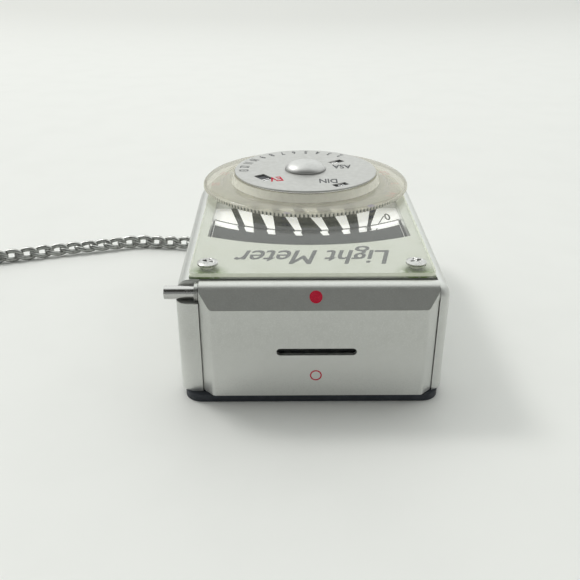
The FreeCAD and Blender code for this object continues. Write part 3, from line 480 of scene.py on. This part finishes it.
def make_camera():
    data = bpy.data.cameras.new("camera")
    data.sensor_width = 36
    data.lens = CAMERA_LENS
    data.clip_start = 0.01
    camera = bpy.data.objects.new("camera", data)
    camera.location = [value * MM for value in CAMERA_PLACE]
    camera.rotation_euler = (math.radians(CAMERA_TILT), 0, math.radians(CAMERA_TURN))
    bpy.context.scene.collection.objects.link(camera)
    bpy.context.scene.camera = camera
    bpy.context.scene.view_settings.view_transform = "Standard"


TABLE_HALF = 3.0
TABLE_BELOW = 0.02 * MM


def table_top():
    """Plain pale paint, with painted shade making it a little darker far behind the object."""
    surface = Surface("table_top", (0.84, 0.845, 0.82), roughness=0.6)
    surface.mottle(60, (0.82, 0.825, 0.80), 0.4, 0.7, 0.6).grain(400, 0.05, 0.05 * MM)
    far = surface.near((0, 1.2, 0), 0.5, 1.1)
    return surface.tint(surface.times(far, far), (0.70, 0.70, 0.675))


def make_floor():
    mesh = bpy.data.meshes.new("table")
    corners = [(-TABLE_HALF, -TABLE_HALF, 0), (TABLE_HALF, -TABLE_HALF, 0),
               (TABLE_HALF, TABLE_HALF, 0), (-TABLE_HALF, TABLE_HALF, 0)]
    mesh.from_pydata(corners, [], [[0, 1, 2, 3]])
    mesh.materials.append(table_top().material)
    table = bpy.data.objects.new("table", mesh)
    table.location.z = -TABLE_BELOW
    bpy.context.scene.collection.objects.link(table)


# The room's light: its bright part behind the object, the rest, and whoever holds the meter.
ROOM_BRIGHT = (0.82, 0.84, 0.82)
ROOM_DIM = (0.21, 0.215, 0.21)
ROOM_DARK = (0.03, 0.03, 0.027)
ROOM_STRENGTH = 1.63


def make_room():
    """A world whose light depends on its direction: bright behind, dim in front, low down and beside."""
    world = bpy.data.worlds.new("room")
    bpy.context.scene.world = world
    world.use_nodes = True
    nodes = world.node_tree.nodes
    links = world.node_tree.links
    split = nodes.new("ShaderNodeSeparateXYZ")
    links.new(nodes.new("ShaderNodeTexCoord").outputs["Generated"], split.inputs[0])

    def calculate(operation, *values):
        step = nodes.new("ShaderNodeMath")
        step.operation = operation
        for socket, value in zip(step.inputs, values):
            if isinstance(value, float):
                socket.default_value = value
            else:
                links.new(value, socket)
        return step.outputs["Value"]

    def fade(value, start, end):
        step = nodes.new("ShaderNodeMapRange")
        step.interpolation_type = "SMOOTHSTEP"
        step.inputs["From Min"].default_value = start
        step.inputs["From Max"].default_value = end
        links.new(value, step.inputs["Value"])
        return step.outputs["Result"]

    def blend(amount, first, color):
        mix = nodes.new("ShaderNodeMix")
        mix.data_type = "RGBA"
        if isinstance(first, tuple):
            mix.inputs["A"].default_value = (*first, 1)
        else:
            links.new(first, mix.inputs["A"])
        mix.inputs["B"].default_value = (*color, 1)
        links.new(amount, mix.inputs["Factor"])
        return mix.outputs["Result"]

    across = split.outputs["X"]
    up = split.outputs["Z"]
    ahead = calculate("MULTIPLY", split.outputs["Y"], -1.0)
    sideways = calculate("ABSOLUTE", across)
    beside = calculate("MULTIPLY", fade(sideways, 0.6, 0.95), 0.6)
    low = calculate("MULTIPLY", fade(up, 0.25, 0.0), 0.65)
    left = calculate("MULTIPLY", fade(across, -0.12, -0.4), fade(up, 0.45, 0.15))
    dim = calculate("MAXIMUM", calculate("MAXIMUM", beside, low), left)
    room = blend(calculate("MAXIMUM", fade(ahead, -0.2, 0.4), dim), ROOM_BRIGHT, ROOM_DIM)
    # A dark patch above and in front, where whoever holds the meter leans over it.
    rise = calculate("ARCTAN2", up, ahead)
    low_edge = fade(rise, math.radians(28), math.radians(40))
    high_edge = fade(rise, math.radians(92), math.radians(72))
    patch = calculate("MULTIPLY", calculate("MULTIPLY", low_edge, high_edge), fade(sideways, 0.8, 0.5))
    background = nodes["Background"]
    links.new(blend(patch, room, ROOM_DARK), background.inputs["Color"])
    background.inputs["Strength"].default_value = ROOM_STRENGTH


WINDOW_PLACE = (-0.93, 0.75, 1.335)
WINDOW_SIZE = 0.39
WINDOW_POWER = 8.2
WINDOW_TARGET = (0, 0, 0.01)


def make_window():
    """Soft light from above, the left and behind."""
    lamp = bpy.data.lights.new("window_light", "AREA")
    lamp.shape = "RECTANGLE"
    lamp.size = WINDOW_SIZE
    lamp.size_y = WINDOW_SIZE
    lamp.energy = WINDOW_POWER
    lamp.color = (1.0, 0.99, 0.97)
    window = bpy.data.objects.new("window_light", lamp)
    window.location = WINDOW_PLACE
    way = Vector(WINDOW_TARGET) - window.location
    window.rotation_euler = way.to_track_quat("-Z", "Y").to_euler()
    bpy.context.scene.collection.objects.link(window)


make_camera()
make_floor()
make_room()
make_window()


# The chain: curb links along one smooth curve.

CHAIN_ROUTE = [
    (-25.3, 28.6, 2.3),
    (-29.8, 29.9, 1.7),
    (-35.5, 30.3, 1.6),
    (-42.0, 31.4, 1.6),
    (-51.0, 28.7, 1.6),
    (-60.5, 26.2, 1.6),
    (-70.0, 22.7, 1.6),
    (-79.0, 20.1, 1.6),
    (-86.5, 18.1, 1.6),
]
CHAIN_WIDE = 3.3

# The coil: its reach at both ends in millimetres, its first angle in degrees, and its turns.
COIL_START = 19.0
COIL_END = 11.6
COIL_FROM = 104.0
COIL_TURNS = 2.3
COIL_STEPS = 14
COIL_HEIGHT = 1.6

# Where the chain's last link meets the end ring: its reach, and its angle past the coil's last.
RING_EDGE = 9.0
RING_TURN = 14

# The links' pitch and wire in millimetres, then in degrees how each is twisted along itself, and how it
# leans and sways about the chain's line.
LINK_PITCH = 3.55
LINK_WIRE = 1.18
LINK_TWIST = 42
LINK_LEAN = -50
LINK_SWAY = 16


def coil_points():
    low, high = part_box("chain_coil")
    centre = (low + high) / 2 / MM
    steps = round(COIL_TURNS * COIL_STEPS)
    points = []
    for index in range(1, steps + 1):
        share = index / steps
        angle = math.radians(COIL_FROM + 360 * COIL_TURNS * share)
        reach = COIL_START + (COIL_END - COIL_START) * share
        points.append((centre.x + reach * math.cos(angle), centre.y + reach * math.sin(angle), COIL_HEIGHT))
    last = math.radians(COIL_FROM + 360 * COIL_TURNS + RING_TURN)
    points.append((centre.x + RING_EDGE * math.cos(last), centre.y + RING_EDGE * math.sin(last), COIL_HEIGHT))
    return points


def smooth_line(points):
    """Points in metres along a NURBS curve through the route."""
    curve = bpy.data.curves.new("route", "CURVE")
    curve.dimensions = "3D"
    spline = curve.splines.new("NURBS")
    spline.points.add(len(points) - 1)
    for knot, point in zip(spline.points, points):
        knot.co = (*(Vector(point) * MM), 1)
    spline.order_u = 3
    spline.use_endpoint_u = True
    spline.resolution_u = 12
    holder = bpy.data.objects.new("route", curve)
    bpy.context.scene.collection.objects.link(holder)
    bpy.context.view_layer.update()
    mesh = bpy.data.meshes.new_from_object(holder)
    line = [vertex.co.copy() for vertex in mesh.vertices]
    bpy.data.objects.remove(holder)
    bpy.data.meshes.remove(mesh)
    bpy.data.curves.remove(curve)
    return line


def along(line, distance):
    """The place and the direction at a distance along a line."""
    for start, end in zip(line, line[1:]):
        step = (end - start).length
        if distance <= step:
            return start.lerp(end, distance / step), (end - start).normalized()
        distance -= step
    return line[-1], (line[-1] - line[-2]).normalized()


def link_rows():
    """One twisted curb link about its own centre, as rings of points."""
    half_long = (LINK_PITCH + LINK_WIRE) / 2 * MM
    half_wide = (CHAIN_WIDE - LINK_WIRE) / 2 * MM
    around = 22
    section = 8
    nudge = 0.02
    rows = []

    def centre_line(turn):
        x = half_long * math.cos(turn)
        side = half_wide * math.sin(turn)
        twist = math.radians(LINK_TWIST) * x / half_long
        return Vector((x, side * math.cos(twist), side * math.sin(twist)))

    for index in range(around):
        turn = 2 * math.pi * index / around
        point = centre_line(turn)
        onward = (centre_line(turn + nudge) - centre_line(turn - nudge)).normalized()
        out = point - onward * point.dot(onward)
        out.normalize()
        side = onward.cross(out)
        ring = []
        for step in range(section):
            angle = 2 * math.pi * step / section
            ring.append(point + (out * math.cos(angle) + side * math.sin(angle)) * (LINK_WIRE / 2 * MM))
        rows.append(ring)
    return rows


def make_chain():
    line = smooth_line(CHAIN_ROUTE + coil_points())
    length = sum((b - a).length for a, b in zip(line, line[1:]))
    builder = Builder()
    rows = link_rows()
    count = round(length / (LINK_PITCH * MM))
    step = length / count
    for index in range(count):
        place, onward = along(line, step * (index + 0.5))
        side = Vector((0, 0, 1)).cross(onward).normalized()
        up = onward.cross(side)
        turned = Matrix((onward, side, up)).transposed().to_4x4()
        lean = LINK_LEAN - LINK_SWAY * math.sin(index * 0.6)
        roll = Matrix.Rotation(math.radians(lean), 4, "X")
        matrix = Matrix.Translation(place) @ turned @ roll
        builder.grid([[matrix @ point for point in ring] for ring in rows], closed_u=True, closed_v=True)
    chain = builder.make("wrist_chain", surfaces["steel"].material, "case")
    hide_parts("chain_run", "chain_coil")


make_chain()


# The clear dial with its knurled rim, and what is printed on it.

TEETH = 168
TOOTH_DEEP = 0.65 * MM
# How deep the rim is cut at each quarter of a tooth.
TOOTH_SHAPE = (1, 0.25, 0, 0.25)


def make_clear_dial():
    """Turned clear plastic. The rim's tooth tips reach the dial's full radius."""
    bottom = DIAL_LOW.z
    rim = bottom + 1.15 * MM
    top = DIAL_HIGH.z
    hub = 2.05 * MM
    boss = 16.3 * MM
    # radius, height, and how much of the tooth depth shows there
    profile = [
        (hub, bottom, 0), (boss, bottom, 0), (DIAL_RADIUS - 1.2 * MM, bottom, 0),
        (DIAL_RADIUS - 0.2 * MM, bottom, 0.5), (DIAL_RADIUS, bottom + 0.15 * MM, 1),
        (DIAL_RADIUS, bottom + 0.6 * MM, 1), (DIAL_RADIUS - 0.15 * MM, bottom + 0.75 * MM, 0),
        (DIAL_RADIUS - 0.5 * MM, rim - 0.08 * MM, 0), (DIAL_RADIUS - 0.8 * MM, rim, 0),
        (boss + 2.2 * MM, rim, 0), (boss + 2.0 * MM, rim - 0.2 * MM, 0),
        (boss + 0.1 * MM, rim - 0.2 * MM, 0), (boss, rim, 0), (boss - 0.35 * MM, top - 0.15 * MM, 0),
        (boss - 0.5 * MM, top, 0), (hub, top, 0),
    ]
    steps = TEETH * len(TOOTH_SHAPE)
    rows = []
    for radius, height, tooth in profile:
        row = []
        for step in range(steps):
            turn = 2 * math.pi * step / steps
            reach = radius - TOOTH_DEEP * tooth * TOOTH_SHAPE[step % len(TOOTH_SHAPE)]
            row.append(Vector((reach * math.cos(turn), DIAL_AXIS.y + reach * math.sin(turn), height)))
        rows.append(row)
    builder = Builder()
    builder.grid(rows, closed_u=True, closed_v=True)
    dial = builder.make("clear_dial", surfaces["dial_plastic"].material, "dial")
    keep_creases(dial, 35)
    dial.visible_shadow = False
    dial.visible_diffuse = False
    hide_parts("calculator_dial")


def make_tooth_gaps():
    """Painted shade: dark wedges in the gaps between the rim's teeth."""
    builder = Builder()
    wedge = in_metres([(-0.6, -0.02), (-0.2, -0.17), (-0.2, 0.17), (-0.6, 0.02)])
    for tooth in range(TEETH):
        place = on_dial(360 * tooth / TEETH, DIAL_RADIUS, DIAL_LOW.z, 0)
        prism(builder, wedge, 0.08 * MM, 0.62 * MM, place)
    shade_wedges = builder.make("painted_tooth_shade", PAINTED_GAP_SHADE, "dial", smooth=False)
    shade_wedges.visible_shadow = False


APERTURES = ("1.4", "2", "2.8", "4", "5.6", "8", "11", "16", "22", "32")
APERTURE_FROM = -25
APERTURE_STEP = 23
TIME_TICKS = 40


def make_dial_figures():
    """Under the flange: apertures in red, and in violet a ring of ticks and two marks."""
    height = DIAL_LOW.z - 0.03 * MM
    thick = 0.02 * MM
    red = Builder()
    for index, text in enumerate(APERTURES):
        lettering(red, text, 1.7 * MM, on_dial(APERTURE_FROM + APERTURE_STEP * index, 20.0 * MM, height))
    red.make("aperture_figures", PINK_INK, "dial", smooth=False)
    violet = Builder()
    mark = in_metres([(-0.9, -0.7), (0.6, -0.7), (0.9, 0.7), (-0.6, 0.7)])
    for angle in (-102, -50):
        prism(violet, mark, 0, thick, on_dial(angle, 20.3 * MM, height))
    tick = in_metres([(-0.5, -0.06), (0.5, -0.06), (0.5, 0.06), (-0.5, 0.06)])
    sweep = APERTURE_STEP * (len(APERTURES) - 1)
    for index in range(TIME_TICKS):
        angle = APERTURE_FROM + sweep * index / (TIME_TICKS - 1)
        prism(violet, tick, 0, thick, on_dial(angle, 18.3 * MM, height, 0))
    violet.make("time_figures", VIOLET_INK, "dial", smooth=False)


# The dark band under the disc's windows, from its inner to its outer radius in millimetres.
BAND_INNER = 7.4
BAND_OUTER = 14.6
# Its numbers in three rings: the radius, the first number's angle, how tall they are drawn, the numbers.
SPEED_RINGS = (
    (9.2, -3, 1.6, ("25", "50", "100", "200", "400", "800")),
    (10.9, -186, 1.8, ("5", "8", "11", "14", "17", "20")),
    (13.2, -99, 1.5, ("15", "18", "21", "24", "27", "30")),
)
SPEED_STEP = 22


def make_speed_figures():
    """A dark band with pale numbers on the film speed scale, seen through the disc's windows."""
    height = SPEED_TOP + 0.003 * MM
    thick = 0.01
    band = Builder()
    rows = []
    for reach, lift in ((BAND_INNER, 0.0), (BAND_OUTER, 0.0), (BAND_OUTER, thick), (BAND_INNER, thick)):
        centre = Vector((0, DIAL_AXIS.y, height + lift * MM))
        rows.append([Vector((x, y, 0)) * MM + centre for x, y in circle_points(reach, 96)])
    band.grid(rows, closed_u=True, closed_v=True)
    band.make("speed_bands", GREY_INK, "dial", smooth=False)
    pale = Builder()
    top = height + 0.013 * MM
    for reach, first, tall, texts in SPEED_RINGS:
        for index, text in enumerate(texts):
            place = on_dial(first + SPEED_STEP * index, reach * MM, top)
            lettering(pale, text, 1.1 * MM, place, weight=0.03 * MM, tall=tall)
    # The pale numbers take the white print's painted glow.
    pale.make("speed_numbers", surfaces["scale_print"].material, "dial", smooth=False)


# The numbers round the silver disc.
DISC_NUMBERS = range(2, 14)
DISC_FROM = 52
DISC_STEP = 12


def make_disc_figures():
    """Numbers round the silver disc and the names of its three windows."""
    height = DISC_TOP + 0.008 * MM
    grey = Builder()
    for index, number in enumerate(DISC_NUMBERS):
        place = on_dial(DISC_FROM + DISC_STEP * index, 13.7 * MM, height)
        lettering(grey, str(number), 1.2 * MM, place, weight=0.03 * MM, tall=1.7)
    axis = Vector((0, DIAL_AXIS.y, height))
    for text, x, y in (("DIN", 4.6, -8.6), ("ASA", 8.2, 1.9)):
        place = Matrix.Translation(axis + Vector((x * MM, y * MM, 0)))
        lettering(grey, text, 1.6 * MM, place @ UPSIDE_DOWN, weight=0.04 * MM, tall=1.7)
    grey.make("disc_figures", GREY_INK, "speed_disc", smooth=False)
    red = Builder()
    place = Matrix.Translation(axis + Vector((-6.4 * MM, -7.2 * MM, 0)))
    turned = Matrix.Rotation(math.radians(195), 4, "Z")
    lettering(red, "EV", 1.8 * MM, place @ turned, weight=0.05 * MM, tall=1.6)
    red.make("disc_mark", RED_INK, "speed_disc", smooth=False)


make_clear_dial()
make_tooth_gaps()
make_dial_figures()
make_speed_figures()
make_disc_figures()


# The name plate and the scales.

NAME_PLACE = Vector((0.9 * MM, -24.0 * MM, PLATE_TOP + 0.012 * MM))


def make_name():
    """Slanted letters, laid three times a little aside, which makes them bolder."""
    builder = Builder()
    for index, shift in enumerate((-0.1, 0.0, 0.1)):
        spot = Matrix.Translation(NAME_PLACE + Vector((shift, 0, 0.003 * index)) * MM)
        lettering(builder, "Light Meter", 4.0 * MM, spot @ UPSIDE_DOWN, shear=0.35, tall=1.5)
    builder.make("name_lettering", GREY_INK, "case", smooth=False)


# White stripes across both scales, in millimetres: the middle at the front and at the back, and the width
# there. The dark between them is what is printed.
STRIPES = [(-11.35, -12.85), (-7.15, -8.5), (-1.9, -3.8), (3.45, 1.25), (7.8, 6.8), (10.95, 11.9)]
STRIPE_FRONT_Y = -7.0
STRIPE_BACK_Y = 3.0
STRIPE_FRONT_WIDE = 1.4
STRIPE_BACK_WIDE = 2.7
FAN_LEFT = (-13.3, -15.5)
FAN_RIGHT = (12.1, 14.5)

# Distances from the needle's pivot: the upper scale's front edge, the strip's dark ground, and the start of
# the stripes on it.
SCALE_EDGE = 32.05
STRIP_FROM = 33.0
STRIP_TO = 43.1
STRIP_STRIPES_FROM = 34.0
# Half the strip's width, the Y where each scale's stripes end, and how far they turn down at the front.
STRIP_HALF = 18.9
SCALE_STRIPES_Y = 8.5
STRIP_STRIPES_Y = 1.5
LIP_DROP = 0.29 * MM


def dark_edges():
    """The left and right edge of each dark stripe, as X at the front and X at the back."""
    edges = [FAN_LEFT]
    for front, back in STRIPES:
        edges.append((front - STRIPE_FRONT_WIDE / 2, back - STRIPE_BACK_WIDE / 2))
        edges.append((front + STRIPE_FRONT_WIDE / 2, back + STRIPE_BACK_WIDE / 2))
    edges.append(FAN_RIGHT)
    return list(zip(edges[0::2], edges[1::2]))


def edge_point(edge, y):
    front, back = edge
    share = (y - STRIPE_FRONT_Y) / (STRIPE_BACK_Y - STRIPE_FRONT_Y)
    return front + (back - front) * share, y


def arc_point(angle, reach):
    """A point of an arc about the needle's pivot, with the angle from -Y."""
    turn = math.radians(angle)
    return NEEDLE_PIVOT.x / MM + reach * math.sin(turn), NEEDLE_PIVOT.y / MM - reach * math.cos(turn)


def edge_meets_arc(edge, reach):
    """Where a stripe's edge meets an arc about the needle's pivot, in millimetres."""
    y = STRIPE_FRONT_Y
    for _ in range(8):
        x = edge_point(edge, y)[0]
        y = NEEDLE_PIVOT.y / MM - math.sqrt(reach ** 2 - (x - NEEDLE_PIVOT.x / MM) ** 2)
    return edge_point(edge, y)


def print_band(builder, height, section):
    """A thin band between arcs about the needle's pivot, each given as (reach, lift, angles)."""
    rows = []
    for reach, lift, angles in section:
        arc = [arc_point(angle, reach) for angle in angles]
        rows.append([Vector((x, y, height / MM + lift)) * MM for x, y in arc])
    builder.grid(rows, closed_v=True)


def add_stripe(builder, left, right, reach, back, height):
    """A dark stripe between two edges, from an arc about the needle's pivot to a straight back end."""
    corners = [edge_meets_arc(left, reach), edge_meets_arc(right, reach),
               edge_point(right, back), edge_point(left, back)]
    prism(builder, in_metres(corners), height + PRINT_LIFT, height + PRINT_TOP)


def strip_angles(reach):
    """Even steps across the strip's width at this distance from the pivot."""
    end = math.degrees(math.asin(STRIP_HALF / reach))
    return [end * step / 20 for step in range(-20, 21)]


def make_scale_stripes():
    """The upper scale's stripes and edge line. The stripes turn down over its front edge."""
    builder = Builder()
    section = ((SCALE_EDGE - 0.01, 0.022), (SCALE_EDGE + 0.09, 0.03),
               (SCALE_EDGE + 0.09, -0.09), (SCALE_EDGE + 0.06, -0.09))
    angles = range(-36, 37, 2)
    print_band(builder, SCALE_TOP, [(reach, lift, angles) for reach, lift in section])
    lip_reach = SCALE_EDGE + 0.11
    for left, right in dark_edges():
        add_stripe(builder, left, right, SCALE_EDGE, SCALE_STRIPES_Y, SCALE_TOP)
        lip = [edge_meets_arc(left, lip_reach), edge_meets_arc(right, lip_reach),
               edge_meets_arc(right, SCALE_EDGE), edge_meets_arc(left, SCALE_EDGE)]
        prism(builder, in_metres(lip), SCALE_TOP - LIP_DROP, SCALE_TOP + PRINT_TOP)
    builder.make("scale_stripes", DARK_INK, "case", smooth=False)


def make_strip_stripes():
    """The lower strip's dark ground and stripes."""
    builder = Builder()
    section = ((STRIP_FROM, 0.022), (STRIP_TO, 0.022), (STRIP_TO, 0.03), (STRIP_FROM, 0.03))
    print_band(builder, STRIP_TOP, [(reach, lift, strip_angles(reach)) for reach, lift in section])
    for left, right in dark_edges():
        add_stripe(builder, left, right, STRIP_STRIPES_FROM, STRIP_STRIPES_Y, STRIP_TOP)
    builder.make("strip_stripes", DARK_INK, "case", smooth=False)


def make_zero_mark():
    """The zero, its line down the upper scale, and a short mark on the strip at the line's end."""
    builder = Builder()
    place = Matrix.Translation(Vector((16.7 * MM, 0.6 * MM, SCALE_TOP + 0.012 * MM)))
    lettering(builder, "0", 1.8 * MM, place @ UPSIDE_DOWN, weight=0.04 * MM, tall=2.0)
    line = in_metres([(15.9, 0.9), (16.15, 0.9), (14.4, -3.95), (14.2, -3.95)])
    prism(builder, line, SCALE_TOP + PRINT_LIFT, SCALE_TOP + PRINT_TOP)
    mark = in_metres([(14.0, -4.05), (14.25, -4.05), (13.95, -5.1), (13.7, -5.1)])
    prism(builder, mark, STRIP_TOP + PRINT_LIFT, STRIP_TOP + PRINT_TOP)
    builder.make("zero_mark", DARK_INK, "case", smooth=False)


make_name()
make_scale_stripes()
make_strip_stripes()
make_zero_mark()


# The dial's cap, a low dome with a rolled edge.

def make_cap():
    low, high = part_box("dial_cap")
    radius = (high.x - low.x) / 2
    rise = high.z - low.z
    around = 72
    steps = 32
    foot = radius * 0.9
    rings = [(foot, low.z)]
    for step in range(steps + 1):
        share = 1 - 0.999 * step / steps
        rings.append((radius * share, low.z + rise * (1 - share ** 2.6) ** 0.62))
    rows = []
    for reach, height in rings:
        rows.append([DIAL_AXIS.xy.to_3d() + Vector((x, y, height)) for x, y in circle_points(reach, around)])
    builder = Builder()
    builder.grid(rows, closed_u=True)
    cap = builder.make("domed_cap", surfaces["cap_metal"].material, "case")
    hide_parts("dial_cap")


make_cap()


# The cover's screws, with a tapered cross recess. Sizes in millimetres.

HEAD_TALL = 0.62
HEAD_DROP = 0.30
RECESS_REACH = 1.2
RECESS_HALF = 0.46
RECESS_TAPER = 0.16
RECESS_SLOPE = 0.3
RECESS_DEEP = 0.34
SHANK_RADIUS = 0.95
SHANK_LONG = 7.0


def screw_height(x, y):
    """Height of the head above its seat."""
    dome = HEAD_TALL - HEAD_DROP * (math.hypot(x, y) / SCREW_RADIUS) ** 3
    wing = 0.0
    for across, out in ((abs(x), abs(y)), (abs(y), abs(x))):
        half = RECESS_HALF - RECESS_TAPER * min(1, out / RECESS_REACH)
        if across < half and out < RECESS_REACH:
            depth = min(1, (half - across) / RECESS_SLOPE) * min(1, (RECESS_REACH - out) / RECESS_SLOPE)
            wing = max(wing, depth)
    return dome - RECESS_DEEP * wing


def make_cover_screws():
    around = 72
    steps = 24
    eye = 0.02
    builder = Builder()
    for side in (-1, 1):
        centre = Vector((side * SCREW_X * MM, SCREW_Y * MM, COVER_TOP))
        turned = Matrix.Rotation(math.radians(20 * side), 3, "Z")
        rows = []
        for step in range(steps + 1):
            reach = eye + (SCREW_RADIUS - eye) * step / steps
            rows.append([centre + turned @ Vector((x, y, screw_height(x, y))) * MM
                         for x, y in circle_points(reach, around)])
        for reach, height in ((SCREW_RADIUS, 0.0), (SHANK_RADIUS, 0.0), (SHANK_RADIUS, 0.1 - SHANK_LONG),
                              (eye, -SHANK_LONG)):
            rows.append([centre + Vector((x, y, height)) * MM for x, y in circle_points(reach, around)])
        builder.grid(rows, closed_u=True)
    screws = builder.make("cross_screws", surfaces["screw_steel"].material, "case")
    keep_creases(screws, 40)
    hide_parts("cover_screws")


make_cover_screws()


# Marks on the flap. Sizes in millimetres.

# The flap's folded band: the heights of its two bends, and how far it leans back between them.
BEND_LOW = 17.67
BEND_HIGH = 20.4
BEND_BACK = 2.06
DOT_X = 0.4
DOT_RADIUS = 1.05
RING_X = 0.55
RING_UP = 5.4
RING_OUTER = 1.0
RING_INNER = 0.78
MARK_THICK = 0.03


def make_band_dot():
    """A red dot two thirds of the way up the folded band."""
    foot = Vector((DOT_X * MM, FLAP_FACE, BEND_LOW * MM))
    head = Vector((DOT_X * MM, FLAP_FACE + BEND_BACK * MM, BEND_HIGH * MM))
    across = Vector((1, 0, 0))
    up = (head - foot).normalized()
    on_band = Matrix((across, up, across.cross(up))).transposed().to_4x4()
    builder = Builder()
    place = Matrix.Translation(foot.lerp(head, 0.66)) @ on_band
    prism(builder, circle_points(DOT_RADIUS * MM, 40), 0, MARK_THICK * MM, place)
    builder.make("band_dot", RED_INK, "flap", smooth=False)


def make_face_ring():
    """A red ring under the flap's slot."""
    centre = Vector((RING_X * MM, FLAP_FACE, RING_UP * MM))
    section = ((RING_OUTER, 0.0), (RING_OUTER, MARK_THICK), (RING_INNER, MARK_THICK), (RING_INNER, 0.0))
    rows = []
    for radius, lift in section:
        rows.append([centre + Vector((x, -lift * MM, y)) for x, y in circle_points(radius * MM, 40)])
    builder = Builder()
    builder.grid(rows, closed_u=True, closed_v=True)
    builder.make("face_ring", RED_INK, "flap", smooth=False)


make_band_dot()
make_face_ring()


# The clear cover.

COVER_LIFT = 0.04 * MM


def make_clear_cover():
    """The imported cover, its underside lifted a hair above the printing on the name plate."""
    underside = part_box("cover_plate")[0].z
    source = frame["nodes"]["cover_plate"].data
    points = []
    for vertex in source.vertices:
        is_low = vertex.co.z < underside + 0.01 * MM
        points.append(vertex.co + Vector((0, 0, COVER_LIFT * is_low)))
    builder = Builder()
    builder.add(points, [list(polygon.vertices) for polygon in source.polygons])
    plastic = surfaces["clear_plastic"].material
    cover = builder.make("clear_cover", plastic, "case", smooth=False)
    cover.visible_shadow = False
    cover.visible_diffuse = False
    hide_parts("cover_plate")


make_clear_cover()


# The lens over the cell: a honeycomb of small domes.

LENS_PITCH = 2.1
LENS_DEEP = 0.4 * MM


def lens_rise(x, z):
    """Height of the nearest dome of a hexagonal grid, from 0 at its edge to 1 at its top."""
    row_step = LENS_PITCH * math.sqrt(3) / 2
    best = LENS_PITCH
    row = round(z / row_step)
    for near_row in (row - 1, row, row + 1):
        offset = LENS_PITCH / 2 if near_row % 2 else 0
        column = round((x - offset) / LENS_PITCH)
        away = math.hypot(x - offset - column * LENS_PITCH, z - near_row * row_step)
        best = min(best, away)
    return max(0.0, 1 - (best / (LENS_PITCH * 0.56)) ** 2)


def make_lens():
    low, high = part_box("cell_lens")
    builder = Builder()
    rows = []
    across = 150
    up = 56
    for v in range(up + 1):
        row = []
        for u in range(across + 1):
            x = low.x + (high.x - low.x) * u / across
            z = low.z + (high.z - low.z) * v / up
            rise = lens_rise((x - low.x) / MM, (z - low.z) / MM)
            row.append(Vector((x, low.y + (0.5 - rise) * LENS_DEEP, z)))
        rows.append(row)
    builder.grid(rows)
    back = [(low.x, high.y, low.z), (high.x, high.y, low.z),
            (high.x, high.y, high.z), (low.x, high.y, high.z)]
    builder.add(back, [[0, 1, 2, 3]])
    lens = builder.make("honeycomb_lens", surfaces["cell_lens"].material, "case")
    lens.visible_shadow = False
    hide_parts("cell_lens")


make_lens()
